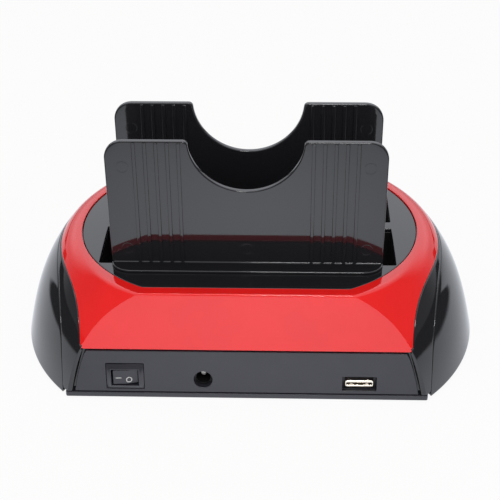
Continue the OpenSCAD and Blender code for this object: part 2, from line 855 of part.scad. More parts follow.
module power_inlet_contact() {
    color([0.8, 0.8, 0.78]) at_inlet()
        translate([-contact_w / 2, -inlet_housing_h / 2, -inlet_housing_d])
            cube([contact_w, contact_t, inlet_housing_d - inlet_pin_set]);
}

// Data port, set back in its window: folded metal shell, tongue and four contacts
usb_z = board_top + usb_h / 2;
usb_tongue_set = 1.2;
usb_tongue_w = 11;
usb_tongue_t = 1.7;
usb_tongue_back = 2;
usb_contact_count = 4;
usb_contact_pitch = 2.4;
usb_contact_w = 1;
usb_contact_t = 0.25;
usb_side_gap = 0.85;
usb_low_gap = 0.7;
usb_high_gap = 1.6;
module at_data_port() {
    behind_panel(usb_x, usb_z, usb_z + usb_h / 2) children();
}
module data_port_shell() {
    color([0.85, 0.8, 0.72]) at_data_port() difference() {
        translate([-usb_w / 2, -usb_h / 2, -usb_d]) cube([usb_w, usb_h, usb_d]);
        translate([-usb_w / 2 + usb_wall, -usb_h / 2 + usb_wall, -usb_d + usb_wall])
            cube([usb_w - 2 * usb_wall, usb_h - 2 * usb_wall, usb_d]);
    }
}
module data_port_tongue() {
    inner_w = usb_w - 2 * usb_wall;
    inner_h = usb_h - 2 * usb_wall;
    color([0.9, 0.9, 0.88]) at_data_port() {
        translate([-usb_tongue_w / 2, -usb_tongue_t / 2, -usb_d + usb_wall])
            cube([usb_tongue_w, usb_tongue_t, usb_d - usb_wall - usb_tongue_set]);
        translate([-inner_w / 2, -inner_h / 2, -usb_d + usb_wall])
            cube([inner_w, inner_h, usb_tongue_back]);
    }
}
module data_port_contacts() {
    color([0.8, 0.6, 0.25]) at_data_port() for (i = [0 : usb_contact_count - 1])
        translate([
            (i - (usb_contact_count - 1) / 2) * usb_contact_pitch - usb_contact_w / 2,
            -usb_tongue_t / 2 - usb_contact_t, -usb_d + usb_wall + usb_tongue_back
        ])
            cube([usb_contact_w, usb_contact_t, usb_d - usb_wall - usb_tongue_back - 2 * usb_tongue_set]);
}

// Port panel: inset panel with the switch frame's seat, a round hole and a data port window
module port_panel() {
    color([0.13, 0.13, 0.14]) on_port_face() difference() {
        translate([0, 0, -panel_set - panel_t]) linear_extrude(panel_t) port_panel_outline(0);
        translate([-switch_x, switch_up, 0]) {
            rim = 2 * (housing_wall + play);
            switch_block(switch_open_w + rim, switch_open_h + rim, -panel_set - panel_t - cut, cut);
            translate([-frame_w / 2 - frame_side_gap, -frame_h / 2 - frame_side_gap, -seat_in])
                cube([
                    frame_w + 2 * frame_side_gap, frame_h + frame_side_gap + frame_top_gap, frame_seat + cut
                ]);
        }
        translate([-inlet_x, (inlet_z - body_low) / cos(lean), -panel_set - panel_t - cut])
            cylinder(r = inlet_hole_r, h = panel_set + panel_t + 2 * cut);
        translate([
            usb_x - usb_w / 2 - usb_side_gap,
            (usb_z - usb_h / 2 - usb_low_gap - body_low) / cos(lean),
            -panel_set - panel_t - cut
        ])
            cube([
                usb_w + 2 * usb_side_gap, usb_h + usb_low_gap + usb_high_gap,
                panel_set + panel_t + 2 * cut
            ]);
    }
}

// Control panel: inset panel with the button's hole and the lights' holes
control_up = panel_low + panel_h / 2;
button_play = 0.3;
light_places = [light_x, light_x + light_pitch];
module control_panel() {
    color([0.13, 0.13, 0.14]) on_control_face() difference() {
        translate([0, 0, -panel_set - panel_t]) linear_extrude(panel_t) control_panel_outline(0);
        translate([0, control_up, -panel_set - panel_t - cut])
            cylinder(r = button_r + button_play, h = panel_t + 2 * cut);
        for (x = light_places) translate([x, control_up, -panel_set - panel_t - cut])
            cylinder(r = light_r + play, h = panel_t + 2 * cut);
    }
}

// Backup button: round cap with a flange behind the panel and a stem on its switch
button_flange = 1.2;
button_flange_t = 1;
button_stem_r = 1.6;
button_stem_l = 3;
button_back = panel_set + panel_t + button_play + button_flange_t;
module backup_button() {
    color([0.1, 0.1, 0.11]) on_control_face() translate([0, control_up, -button_back]) {
        cylinder(r = button_r, h = button_proud + button_back);
        cylinder(r = button_r + button_flange, h = button_flange_t);
        translate([0, 0, -button_stem_l])
            cylinder(r = button_stem_r, h = button_stem_l + button_flange_t / 2);
    }
}

// Button switch: block with a well for the button's stem, on its own small upright board
button_switch_w = 6;
button_switch_t = 3.6;
button_well_d = 1.4;
button_board_t = 1.2;
button_board_w = 12;
button_board_rise = 6;
button_switch_back = button_back + button_stem_l + button_travel + play + button_switch_t;
button_board_back = button_switch_back + button_board_t;
button_board_low = (tray_h + button_board_back * sin(lean)) / cos(lean) + play;
module button_switch() {
    board_h = control_up + button_board_rise - button_board_low;
    color([0.2, 0.2, 0.2]) on_control_face() translate([0, 0, -button_switch_back]) difference() {
        union() {
            translate([-button_switch_w / 2, control_up - button_switch_w / 2, 0])
                cube([button_switch_w, button_switch_w, button_switch_t + button_well_d]);
            translate([-button_board_w / 2, button_board_low, -button_board_t])
                cube([button_board_w, board_h, button_board_t]);
        }
        translate([0, control_up, button_switch_t])
            cylinder(r = button_stem_r + button_play, h = button_well_d + cut);
    }
}

// Indicator lights: two clear light pipes in the control panel
light_proud = 0.3;
light_l = 7;
module indicator_lights() {
    color([0.6, 0.75, 0.9]) on_control_face() for (x = light_places)
        translate([x, control_up, light_proud - light_l]) cylinder(r = light_r, h = light_l);
}

// Main board with holes for its screws and the shell's posts, notched round the switch
switch_notch_d = 17;
module main_board() {
    color([0.05, 0.3, 0.15]) difference() {
        translate([-board_half_w, board_near_y, board_low])
            cube([2 * board_half_w, board_far_y - board_near_y, board_t]);
        for (p = board_places)
            translate([p[0], p[1], board_low - cut]) cylinder(r = screw_r + play, h = board_t + 2 * cut);
        for (p = corners(post_x, post_y))
            translate([p[0], p[1], board_low - cut])
                cylinder(r = post_r + board_post_gap, h = board_t + 2 * cut);
        translate([-board_half_w - cut, board_near_y - cut, board_low - cut])
            cube([
                board_half_w - switch_x + switch_open_w / 2 + housing_wall + 2 * cut,
                switch_notch_d + cut, board_t + 2 * cut
            ]);
    }
}

// Board capacitors: upright round cans beside the inlet and beside the data port
capacitor_r = 3.2;
capacitor_h = 7;
capacitor_gap = 2.4;
capacitor_y = board_near_y + 2 * capacitor_r;
capacitor_step = 2 * capacitor_r + capacitor_gap;
inlet_clear = inlet_housing_w / 2 + capacitor_gap + capacitor_r;
capacitor_x = [
    -inlet_x - inlet_clear - capacitor_step, -inlet_x - inlet_clear, -inlet_x + inlet_clear,
    usb_x - usb_w / 2 - capacitor_gap - capacitor_r
];
module board_capacitors() {
    color([0.15, 0.2, 0.35]) for (x = capacitor_x)
        translate([x, capacitor_y, board_top]) cylinder(r = capacitor_r, h = capacitor_h);
}

// Controller chips: flat square packages, one behind the ports and two near the far edge
chip_w = 14;
chip_t = 1.4;
chip_set = 12;
small_chip_share = 0.66;
module chip(x, y, w) {
    translate([x - w / 2, y - w / 2, board_top]) cube([w, w, chip_t]);
}
module controller_chips() {
    color([0.03, 0.03, 0.03]) {
        chip((capacitor_x[2] + capacitor_x[3]) / 2, board_near_y + chip_set, chip_w);
        for (side = sides) chip(side * chip_w, board_far_y - chip_set, chip_w * small_chip_share);
    }
}

// Screws up through the base tray into the body shell's posts
module base_screws() {
    head_top = tray_top - tray_screw_seat;
    color([0.6, 0.6, 0.62]) for (p = corners(post_x, post_y)) translate([p[0], p[1], 0]) {
        translate([0, 0, head_top - screw_head_h]) cylinder(r = screw_head_r, h = screw_head_h);
        translate([0, 0, head_top - screw_head_h / 2])
            cylinder(r = screw_r, h = body_screw_l + screw_head_h / 2 - play);
    }
}

// Screws down through the board into the tray's posts
module board_screws() {
    color([0.6, 0.6, 0.62]) for (p = board_places) translate([p[0], p[1], board_top]) {
        cylinder(r = screw_head_r, h = screw_head_h);
        translate([0, 0, -board_screw_l]) cylinder(r = screw_r, h = board_screw_l + screw_head_h / 2);
    }
}

// Rubber feet in the tray's recesses
module rubber_feet() {
    color([0.12, 0.12, 0.12]) for (p = corners(foot_x, foot_y))
        translate([p[0], p[1], 0]) cylinder(r = foot_r, h = body_low + foot_recess);
}

base_tray();
body_shell();
top_cover();
deck_plate();
left_side_cover();
right_side_cover();
near_guide_plate();
far_guide_plate();
near_bay_liner();
far_bay_liner();
port_panel();
control_panel();
switch_housing();
switch_rocker();
switch_terminals();
power_inlet_housing();
power_inlet_pin();
power_inlet_contact();
data_port_shell();
data_port_tongue();
data_port_contacts();
backup_button();
button_switch();
indicator_lights();
main_board();
near_sata_connector();
far_sata_connector();
near_ide_connector();
far_ide_connector();
near_ide_power_socket();
far_ide_power_socket();
controller_chips();
board_capacitors();
base_screws();
board_screws();
rubber_feet();
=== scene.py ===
"""Finished looks of a two-bay hard drive docking station.

The body's skin follows the outline of the body at each height: two flat sides joined by two
rounded ends. Every length is in metres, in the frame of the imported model.
"""

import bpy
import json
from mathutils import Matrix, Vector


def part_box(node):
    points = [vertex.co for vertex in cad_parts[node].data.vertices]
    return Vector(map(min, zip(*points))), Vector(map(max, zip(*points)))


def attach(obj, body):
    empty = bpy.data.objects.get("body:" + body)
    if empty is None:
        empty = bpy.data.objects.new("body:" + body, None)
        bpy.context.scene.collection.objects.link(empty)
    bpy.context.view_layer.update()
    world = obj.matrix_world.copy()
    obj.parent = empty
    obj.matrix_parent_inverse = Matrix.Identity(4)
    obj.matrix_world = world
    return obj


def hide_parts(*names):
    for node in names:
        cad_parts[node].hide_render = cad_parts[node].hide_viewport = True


bl_info = {
    "name": "Drive Dock",
    "version": (1, 0, 0),
    "blender": (4, 5, 0),
    "location": "View3D > Sidebar > Drive Dock",
    "description": "Builds the covers, guide plates, ports and fittings of a hard drive docking station",
    "category": "Add Mesh",
}

import json
import math

import bmesh
import bpy
from bpy.props import FloatProperty, FloatVectorProperty, IntProperty, PointerProperty
from bpy.types import Operator, Panel, PropertyGroup
from mathutils import Matrix, Vector

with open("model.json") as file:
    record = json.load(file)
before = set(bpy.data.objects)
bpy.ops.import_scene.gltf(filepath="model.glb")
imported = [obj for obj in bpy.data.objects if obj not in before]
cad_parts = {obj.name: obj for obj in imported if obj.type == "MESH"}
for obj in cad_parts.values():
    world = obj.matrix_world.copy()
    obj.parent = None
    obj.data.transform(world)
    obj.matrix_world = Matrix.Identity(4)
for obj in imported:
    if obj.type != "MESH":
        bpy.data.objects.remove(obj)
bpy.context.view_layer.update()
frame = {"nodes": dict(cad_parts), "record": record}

MM = 0.001
SIDES = (-1, 1)
SIDEBAR_TAB = "Drive Dock"

RECORD = frame["record"]
SLOT_OF = {part["node"]: part["material_slot"] for part in RECORD["subparts"]}
BODY_OF = {node: body for body, nodes in RECORD["behaviour"]["bodies"].items() for node in nodes}


def low(node):
    """Lowest corner of a node."""
    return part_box(node)[0]


def high(node):
    """Highest corner of a node."""
    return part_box(node)[1]


def middle(node):
    """Middle of a node's box."""
    return (low(node) + high(node)) / 2


def length(name, description, default):
    """Length setting, in metres."""
    return FloatProperty(
        name=name, description=description, default=default, unit="LENGTH", subtype="DISTANCE", precision=5
    )


def number(name, description, default):
    """Plain number setting."""
    return FloatProperty(name=name, description=description, default=default, precision=3)


def count(name, description, default):
    """Whole number setting."""
    return IntProperty(name=name, description=description, default=default, min=1)


def colour(name, description, default):
    """Colour setting, in linear light."""
    return FloatVectorProperty(
        name=name, description=description, default=default, size=3, subtype="COLOR", min=0, max=1
    )


BODY_LOW = low("base_tray").z
RIM_Z = high("top_cover").z
DECK_TOP = high("deck_plate").z
DECK_LOW = low("deck_plate").z
GUIDE_OVERHANG = 0.6 * MM
DECK_GAP = 0.2 * MM
BAY_LINERS = ("near_bay_liner", "far_bay_liner")
BAY_WALL = 1.4 * MM


class DockBody(PropertyGroup):
    """Sizes of the body's outer surface."""

    half_w: length("Half width", "Half width of the foot at mid-depth", high("right_side_cover").x)
    half_d: length("Half depth", "Half depth of the foot", high("base_tray").y)
    height: length("Height", "Height of the rim above the bottom of the body", RIM_Z - BODY_LOW)
    end_draw_in: length("End draw-in", "How far each end draws in from foot to rim", 23.2 * MM)
    face_draw_in: length("Face draw-in", "How far each long side draws in from foot to rim", 5.6 * MM)
    foot_axis_x: length("Foot axis", "Distance of the ends' axes from the middle, at the foot", 15.9 * MM)
    rim_axis_x: length("Rim axis", "Distance of the ends' axes from the middle, at the rim", 18.6 * MM)
    corner_r: length("Corner radius", "Radius of the four upright corners", 0.7 * MM)
    tray_h: length("Tray edge", "Height of the base tray's edge", 2.4 * MM)
    even_share: number("Even share", "Share of the draw-in that runs evenly, the rest bulges", 0.5)
    bulge_power: number("Bulge power", "Power of the bulging part of the draw-in", 3)


class DockCovers(PropertyGroup):
    """Sizes of the red top cover, the side covers and the strips between them."""

    cover_wall: length("Cover wall", "Wall of the red cover and the side covers", 2.2 * MM)
    edge_r: length("Edge radius", "Rounding of the covers' edges", 0.45 * MM)
    rim_w: length("Rim width", "Width of the flat red rim round the deck", 5 * MM)
    rim_drop: length("Rim depth", "Height of the rim's inner wall", RIM_Z - DECK_LOW)
    crest_face_r: length("Crest at the sides", "Rounding of the crest on the long sides", 0.8 * MM)
    crest_end_r: length("Crest at the ends", "Rounding of the crest at the middle of each end", 3.6 * MM)
    red_face_up: length("Red edge, sides", "Height of the red edge on the long sides", 24 * MM)
    red_end_up: length("Red edge, ends", "Height of the red edge at the middle of each end", 45 * MM)
    red_half_w: length("Red edge half width", "Half width of the red edge on the long sides", 70.8 * MM)
    red_corner_r: length("Red corner", "Rounding of the red cover's lowest corners", 1.5 * MM)
    red_power: number("Red edge power", "Power with which the red edge falls to the long sides", 5)
    seam_end_x: length("Seam, ends", "Place of the side covers' edge at mid-depth", 86.98 * MM)
    seam_draw_in: length("Seam draw-in", "How far that edge draws in towards the long sides", 6.8 * MM)
    seam_reach: length("Seam reach", "Distance from mid-depth over which it draws in", 59 * MM)
    cover_lift: length("Side cover lift", "Height of a side cover's lower edge", 0.6 * MM)
    seam_gap: length("Seam gap", "Gap between neighbouring covers", 0.3 * MM)
    core_inset: length("Core inset", "Depth of the body shell's core under the covers", 2.4 * MM)
    core_wall: length("Core wall", "Wall of the body shell's core", 2 * MM)


class DockPanels(PropertyGroup):
    """Sizes of the two inset panels and of what sits in them."""

    strip_foot_w: length("Strip at the foot", "Width of the face beside a groove, at the foot", 2.2 * MM)
    strip_top_w: length("Strip at the top", "Width of the face beside a groove, at the top", 1.3 * MM)
    groove: length("Groove", "Width of the groove round a panel", 1.1 * MM)
    height: length("Panel height", "Height of a panel along its face", 20.5 * MM)
    thickness: length("Panel thickness", "Thickness of a panel", 2 * MM)
    set_back: length("Set back", "How far a panel lies behind the face", 0.4 * MM)
    edge_r: length("Panel edge", "Rounding of a panel's edges", 0.35 * MM)
    control_half_w: length("Control half width", "Half width of the control panel", 40 * MM)
    switch_up: length("Switch height", "Height of the switch along the panel", 10.28 * MM)
    switch_open_w: length("Switch opening width", "Width of the switch's opening", 11.8 * MM)
    switch_open_h: length("Switch opening height", "Height of the switch's opening", 7.8 * MM)
    switch_bevel: length("Switch frame", "Width of the sloping frame round the switch", 2.2 * MM)
    switch_proud: length("Switch frame's rise", "How far the frame's inner edge stands out", 0.55 * MM)
    inlet_r: length("Inlet hole", "Radius of the inlet's hole", 4 * MM)
    port_gap: length("Port gap", "Clearance beside and below the data port", 0.8 * MM)
    port_top_gap: length("Port top gap", "Clearance above the data port", 1.6 * MM)


class DockSwitch(PropertyGroup):
    """Sizes of the rocker."""

    width: length("Rocker width", "Width of the rocker", 11 * MM)
    height: length("Rocker height", "Height of the rocker", 7 * MM)
    crown: length("Crown", "Height of the rocker's ridge above its axis", 2.6 * MM)
    axis_in: length("Axis depth", "Depth of the rocker's axis behind the face", 2.45 * MM)
    slope: number("Slope", "Slope of the rocker's two faces, in degrees", 5)
    tilt: number("Tilt", "Tilt of the rocker, in degrees", 8)
    mark_t: length("Mark thickness", "Thickness of the printed marks", 0.05 * MM)


class DockGuides(PropertyGroup):
    """Sizes of the guide plates."""

    height: length("Height", "Height of a guide plate above the deck", high("near_guide_plate").z - DECK_TOP)
    half_w: length("Half width", "Half width of a guide plate", high("near_guide_plate").x)
    thickness: length("Thickness", "Thickness of a guide plate", 2.4 * MM)
    edge_r: length("Edge radius", "Rounding of a guide plate's edges", 0.6 * MM)
    corner_r: length("Corner radius", "Radius of the top corners", 8 * MM)
    cutout_r: length("Cut-out radius", "Radius of the finger cut-out", 24 * MM)
    cutout_rise: length("Cut-out rise", "Height of the cut-out's centre above the top edge", 0.9 * MM)
    lip_r: length("Lip radius", "Rounding where the cut-out meets the top edge", 2 * MM)
    rib_x: length("First rib", "Distance from the middle to the first rib", 27.64 * MM)
    rib_pitch: length("Rib pitch", "Distance from one rib to the next", 4.6 * MM)
    rib_w: length("Rib width", "Width of a rib", 1.5 * MM)
    rib_h: length("Rib height", "Height of a rib above the plate", 0.5 * MM)
    rib_count: count("Rib count", "Number of ribs on each side of the cut-out", 5)
    foot_t: length("Foot thickness", "Thickness of the foot", 1.1 * MM)
    foot_corner_w: length("Foot corner width", "Width of the foot's rounded corners", 9 * MM)
    tongue_inset: length("Tongue inset", "Distance from the plate's end to its tongue", 6 * MM)
    tongue_h: length("Tongue depth", "How far the tongue reaches down into the bay", 9 * MM)
    mark_r: length("Ejector mark", "Radius of an ejector pin's mark", 2.65 * MM)
    mark_x: length("Mark place", "Distance from the middle to the outer ejector marks", 51 * MM)
    mark_drop: length("Mark drop", "Depth of the upper marks below the top edge", 12 * MM)
    mark_lift: length("Mark lift", "Height of the lower marks above the deck", 8 * MM)


class DockFinishes(PropertyGroup):
    """Colours of the finishes."""

    gloss_black: colour("Gloss black", "Covers, deck and guide plates", (0.0130, 0.0130, 0.0150))
    satin_black: colour("Satin black", "Panels, base tray and rocker", (0.022, 0.022, 0.029))
    matt_black: colour("Matt black", "Bay liners and connectors", (0.008, 0.008, 0.009))
    gloss_red: colour("Gloss red", "Top cover", (0.86, 0.0135, 0.0125))
    mark_grey: colour("Mark grey", "Marks on the rocker", (0.55, 0.55, 0.54))
    pale: colour("Off-white", "Data port tongue and power sockets", (0.72, 0.69, 0.62))
    board_green: colour("Board green", "Main board", (0.012, 0.12, 0.045))
    sleeve_blue: colour("Sleeve blue", "Capacitor sleeves", (0.02, 0.03, 0.09))
    nickel: colour("Nickel", "Plated contacts", (0.66, 0.64, 0.6))
    warm_nickel: colour("Warm nickel", "Data port shell", (0.84, 0.76, 0.64))
    gold: colour("Gold", "Gold contacts", (0.83, 0.58, 0.22))
    zinc: colour("Zinc", "Screws", (0.5, 0.5, 0.52))
    rubber: colour("Rubber", "Feet", (0.018, 0.018, 0.018))
    light_pipe: colour("Light pipe", "Indicator lights", (0.45, 0.62, 0.85))


# Node trees

COLUMN_W = 220
ROW_H = 280
NOISE_REACH = (0.3, 0.7)


def feed(tree, socket, given):
    """Links a socket to the one that feeds it, or sets its value."""
    if isinstance(given, bpy.types.NodeSocket):
        tree.links.new(given, socket)
    else:
        socket.default_value = given


def fill(tree, node, **inputs):
    """Feeds a node's inputs, by name with spaces as underscores."""
    for name, given in inputs.items():
        feed(tree, node.inputs[name.replace("_", " ")], given)


def node_of(tree, kind, **inputs):
    """New node with its inputs."""
    node = tree.nodes.new(kind)
    fill(tree, node, **inputs)
    return node


def set_out(tree):
    """Places the nodes in columns, each to the left of all that it feeds."""
    def steps_to_end(node):
        """Number of nodes that follow this one on the longest way to the output."""
        followers = [link.to_node for socket in node.outputs for link in socket.links]
        return 1 + max([steps_to_end(follower) for follower in followers], default=-1)

    rows = {}
    for node in tree.nodes:
        column = steps_to_end(node)
        rows[column] = rows.get(column, 0) + 1
        node.location = (-COLUMN_W * column, -ROW_H * rows[column])


def calculated(tree, operation, *given):
    """Result of a calculation on sockets or numbers."""
    node = node_of(tree, "ShaderNodeMath")
    node.operation = operation
    for socket, value in zip(node.inputs, given):
        feed(tree, socket, value)
    return node.outputs[0]


def spread(tree, value, reach, levels, easing="LINEAR"):
    """Value carried from its reach onto a range of levels."""
    ends = {"From_Min": reach[0], "From_Max": reach[1], "To_Min": levels[0], "To_Max": levels[1]}
    node = node_of(tree, "ShaderNodeMapRange", Value=value, **ends)
    node.interpolation_type = easing
    return node.outputs["Result"]


def ramp(tree, value, reach, levels):
    """Smooth change from one level to another over a reach of the value."""
    return spread(tree, value, reach, levels, "SMOOTHSTEP")


def noise(tree, coordinates, scale, detail, stretch=(1, 1, 1)):
    """Noise over the object's own coordinates."""
    mapping = node_of(tree, "ShaderNodeMapping", Vector=coordinates, Scale=stretch)
    node = node_of(tree, "ShaderNodeTexNoise", Vector=mapping.outputs["Vector"], Scale=scale, Detail=detail)
    return node.outputs["Fac"]


def shade(base, share):
    """Share of a colour, with its alpha."""
    return (*[min(1, c * share) for c in base], 1)


def tint(tree, factor, base, change):
    """Colour that varies about the base by a share of it."""
    node = node_of(tree, "ShaderNodeValToRGB", Fac=factor)
    for element, place, share in zip(node.color_ramp.elements, NOISE_REACH, (1 - change, 1 + change)):
        element.position = place
        element.color = shade(base, share)
    return node.outputs["Color"]


def relief(tree, factor, height, under=None):
    """Bump of the factor, over any bump under it."""
    bump = node_of(tree, "ShaderNodeBump", Strength=1, Height=factor, Distance=height)
    if under:
        fill(tree, bump, Normal=under)
    return bump.outputs["Normal"]


def mixed(tree, factor, first, second):
    """Mix of two shaders."""
    node = node_of(tree, "ShaderNodeMixShader", Fac=factor)
    for socket, shader in zip(node.inputs[1:], (first, second)):
        feed(tree, socket, shader.outputs[0])
    return node


def empty_tree(owner):
    """Node tree of a material or a world, cleared."""
    owner.use_nodes = True
    owner.node_tree.nodes.clear()
    return owner.node_tree


# Finishes


def finish_tree(name):
    """New material with its tree, its shader and its object coordinates."""
    material = bpy.data.materials.new(name)
    material.use_nodes = True
    tree = material.node_tree
    coordinates = node_of(tree, "ShaderNodeTexCoord").outputs["Object"]
    return material, tree, tree.nodes["Principled BSDF"], coordinates


def moulded_finish(name, base, roughness, unevenness, waves, grain, grain_scale, index=1.5):
    """Moulded plastic: faint unevenness of colour and gloss, slow waves and fine grain."""
    material, tree, shader, coordinates = finish_tree(name)
    clouds = noise(tree, coordinates, scale=38, detail=3)
    handling = noise(tree, coordinates, scale=160, detail=5)
    gloss = (roughness * (1 - unevenness), roughness * (1 + unevenness))
    slow = relief(tree, noise(tree, coordinates, scale=26, detail=1), waves)
    fill(
        tree, shader, IOR=index, Base_Color=tint(tree, clouds, base, 0.04),
        Roughness=spread(tree, handling, NOISE_REACH, gloss),
        Normal=relief(tree, noise(tree, coordinates, grain_scale, detail=4), grain, slow),
    )
    return material


def metal_finish(name, base, roughness, stretch):
    """Plated metal: drawn lines and uneven polish."""
    material, tree, shader, coordinates = finish_tree(name)
    drawn = noise(tree, coordinates, scale=900, detail=3, stretch=stretch)
    polish = (roughness * 0.7, roughness * 1.4)
    fill(
        tree, shader, Metallic=1, Base_Color=tint(tree, drawn, base, 0.08),
        Roughness=spread(tree, drawn, NOISE_REACH, polish), Normal=relief(tree, drawn, 0.004 * MM),
    )
    return material


def board_finish(name, base):
    """Circuit board: solder mask over raised tracks."""
    material, tree, shader, coordinates = finish_tree(name)
    tracks = node_of(
        tree, "ShaderNodeTexBrick", Vector=coordinates, Scale=95, Mortar_Size=0.06,
        Color1=shade(base, 1), Color2=shade(base, 0.8), Mortar=shade(base, 1.9),
    )
    raised = relief(tree, tracks.outputs["Fac"], 0.03 * MM)
    fill(tree, shader, Roughness=0.32, Base_Color=tracks.outputs["Color"], Normal=raised)
    return material


def light_pipe_finish(name, base):
    """Clear tinted plastic."""
    material, tree, shader, coordinates = finish_tree(name)
    haze = noise(tree, coordinates, scale=400, detail=3)
    fill(
        tree, shader, IOR=1.49, Transmission_Weight=0.6, Base_Color=tint(tree, haze, base, 0.06),
        Roughness=spread(tree, haze, NOISE_REACH, (0.08, 0.16)),
    )
    return material


# Each slot's maker, its colour setting and its own values
FINISH_OF = {
    "black_plastic_gloss": (moulded_finish, "gloss_black", {
        "roughness": 0.055, "unevenness": 0.35, "waves": 9e-6, "grain": 4e-7, "grain_scale": 2500,
        "index": 1.52}),
    "black_plastic_satin": (moulded_finish, "satin_black", {
        "roughness": 0.34, "unevenness": 0.12, "waves": 6e-6, "grain": 4e-6, "grain_scale": 5200}),
    "black_plastic_matt": (moulded_finish, "matt_black", {
        "roughness": 0.42, "unevenness": 0.15, "waves": 0, "grain": 5e-6, "grain_scale": 4200}),
    "red_plastic_gloss": (moulded_finish, "gloss_red", {
        "roughness": 0.07, "unevenness": 0.35, "waves": 8e-6, "grain": 4e-7, "grain_scale": 2500}),
    "pale_plastic": (moulded_finish, "pale", {
        "roughness": 0.38, "unevenness": 0.15, "waves": 0, "grain": 3e-6, "grain_scale": 4200}),
    "mark_print": (moulded_finish, "mark_grey", {
        "roughness": 0.4, "unevenness": 0.1, "waves": 0, "grain": 2e-6, "grain_scale": 4200}),
    "capacitor_sleeve": (moulded_finish, "sleeve_blue", {
        "roughness": 0.25, "unevenness": 0.2, "waves": 0, "grain": 2e-6, "grain_scale": 3000}),
    "foot_rubber": (moulded_finish, "rubber", {
        "roughness": 0.7, "unevenness": 0.12, "waves": 0, "grain": 2e-5, "grain_scale": 2600}),
    "plated_contact": (metal_finish, "nickel", {"roughness": 0.2, "stretch": (1, 0.1, 1)}),
    "plated_shell": (metal_finish, "warm_nickel", {"roughness": 0.16, "stretch": (1, 0.06, 1)}),
    "gold_contact": (metal_finish, "gold", {"roughness": 0.2, "stretch": (1, 0.1, 1)}),
    "screw_steel": (metal_finish, "zinc", {"roughness": 0.3, "stretch": (1, 1, 0.2)}),
    "green_board": (board_finish, "board_green", {}),
    "clear_plastic": (light_pipe_finish, "light_pipe", {}),
}
FINISHES = {}


def finish_for(slot):
    """Material of a slot, made when it is first asked for."""
    if slot not in FINISHES:
        maker, hue, values = FINISH_OF[slot]
        base = tuple(getattr(bpy.context.scene.dock_finishes, hue))
        FINISHES[slot] = maker(slot + "_finish", base, **values)
        set_out(FINISHES[slot].node_tree)
    return FINISHES[slot]


# Meshes


def mesh_of(name, bm):
    """Mesh of a finished bmesh, with its faces turned outwards."""
    bmesh.ops.recalc_face_normals(bm, faces=bm.faces)
    mesh = bpy.data.meshes.new(name)
    bm.to_mesh(mesh)
    bm.free()
    return mesh


def join_rings(bm, a, b):
    """Faces between two rings, of which one may be a single point."""
    for i in range(max(len(a), len(b))):
        k = i + 1
        corners = (a[i % len(a)], a[k % len(a)], b[k % len(b)], b[i % len(b)])
        unique = list(dict.fromkeys(corners))
        if len(unique) > 2:
            bm.faces.new(unique)


SAME_PLACE = 1e-7


def swept(name, sections, loop):
    """Skin through closed sections of equal length, capped at both ends unless it is a loop."""
    bm = bmesh.new()
    rings = [[bm.verts.new(point) for point in section] for section in sections]
    for a, b in zip(rings, rings[1:] + rings[:1] if loop else rings[1:]):
        join_rings(bm, a, b)
    if not loop:
        bm.faces.new(rings[0])
        bm.faces.new(rings[-1])
    bmesh.ops.remove_doubles(bm, verts=bm.verts, dist=SAME_PLACE)
    return mesh_of(name, bm)


def offset_loop(points, distance):
    """A loop moved to its left by a distance, with mitred corners."""
    sharpest = 0.5
    moved = []
    for i, point in enumerate(points):
        before = (point - points[i - 1]).normalized()
        after = (points[(i + 1) % len(points)] - point).normalized()
        bisector = Vector((-before.y - after.y, before.x + after.x))
        moved.append(point + bisector * (2 * distance / max(bisector.length_squared, sharpest)))
    return moved


def stations(first, last, steps):
    """Evenly spaced values from the first to the last."""
    return [first + (last - first) * i / steps for i in range(steps + 1)]


ROUND_STEPS = 3


def quarter_round(radius):
    """Insets and rises of a rounded edge, from the bottom face round to the side."""
    turns = stations(0, math.pi / 2, ROUND_STEPS)
    return [(radius * (1 - math.sin(a)), radius * (1 - math.cos(a))) for a in turns]


def plate(name, loops, bottom, top, edge_r):
    """Flat plate with rounded edges: the outer loop runs counterclockwise, holes clockwise."""
    rounding = quarter_round(edge_r)
    profile = [(inset, bottom + rise) for inset, rise in rounding]
    profile += [(inset, top - rise) for inset, rise in reversed(rounding)]
    bm = bmesh.new()
    low_edges, high_edges = [], []
    for loop in loops:
        rings = [[bm.verts.new((p.x, p.y, z)) for p in offset_loop(loop, inset)] for inset, z in profile]
        for a, b in zip(rings, rings[1:]):
            join_rings(bm, a, b)
        for ring, edges in ((rings[0], low_edges), (rings[-1], high_edges)):
            edges += [bm.edges.get((ring[i - 1], ring[i])) for i in range(len(ring))]
    for edges in (low_edges, high_edges):
        bmesh.ops.triangle_fill(bm, use_beauty=True, use_dissolve=False, edges=edges)
    return mesh_of(name, bm)


def arc(x, y, radius, first, last, steps):
    """Points of an arc between two angles in degrees."""
    angles = [math.radians(angle) for angle in stations(first, last, steps)]
    return [Vector((x + radius * math.cos(a), y + radius * math.sin(a))) for a in angles]


def rectangle(x0, y0, x1, y1, corner_r=0.0, steps=4):
    """Counterclockwise loop of a rectangle with rounded corners."""
    if not corner_r:
        return [Vector(p) for p in ((x0, y0), (x1, y0), (x1, y1), (x0, y1))]
    left, right, bottom, top = x0 + corner_r, x1 - corner_r, y0 + corner_r, y1 - corner_r
    centres = ((right, bottom, -90), (right, top, 0), (left, top, 90), (left, bottom, 180))
    return [p for x, y, first in centres for p in arc(x, y, corner_r, first, first + 90, steps)]


def centred(half_w, half_h, corner_r=0.0, steps=4, at=(0, 0)):
    """Counterclockwise loop of a rectangle about a point."""
    x, y = at
    return rectangle(x - half_w, y - half_h, x + half_w, y + half_h, corner_r, steps)


def node_rectangle(node, grow, corner_r=0.0, steps=4):
    """Counterclockwise loop of a node's outline from above, grown or, below zero, shrunk."""
    a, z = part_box(node)
    return rectangle(a.x - grow, a.y - grow, z.x + grow, z.y + grow, corner_r, steps)


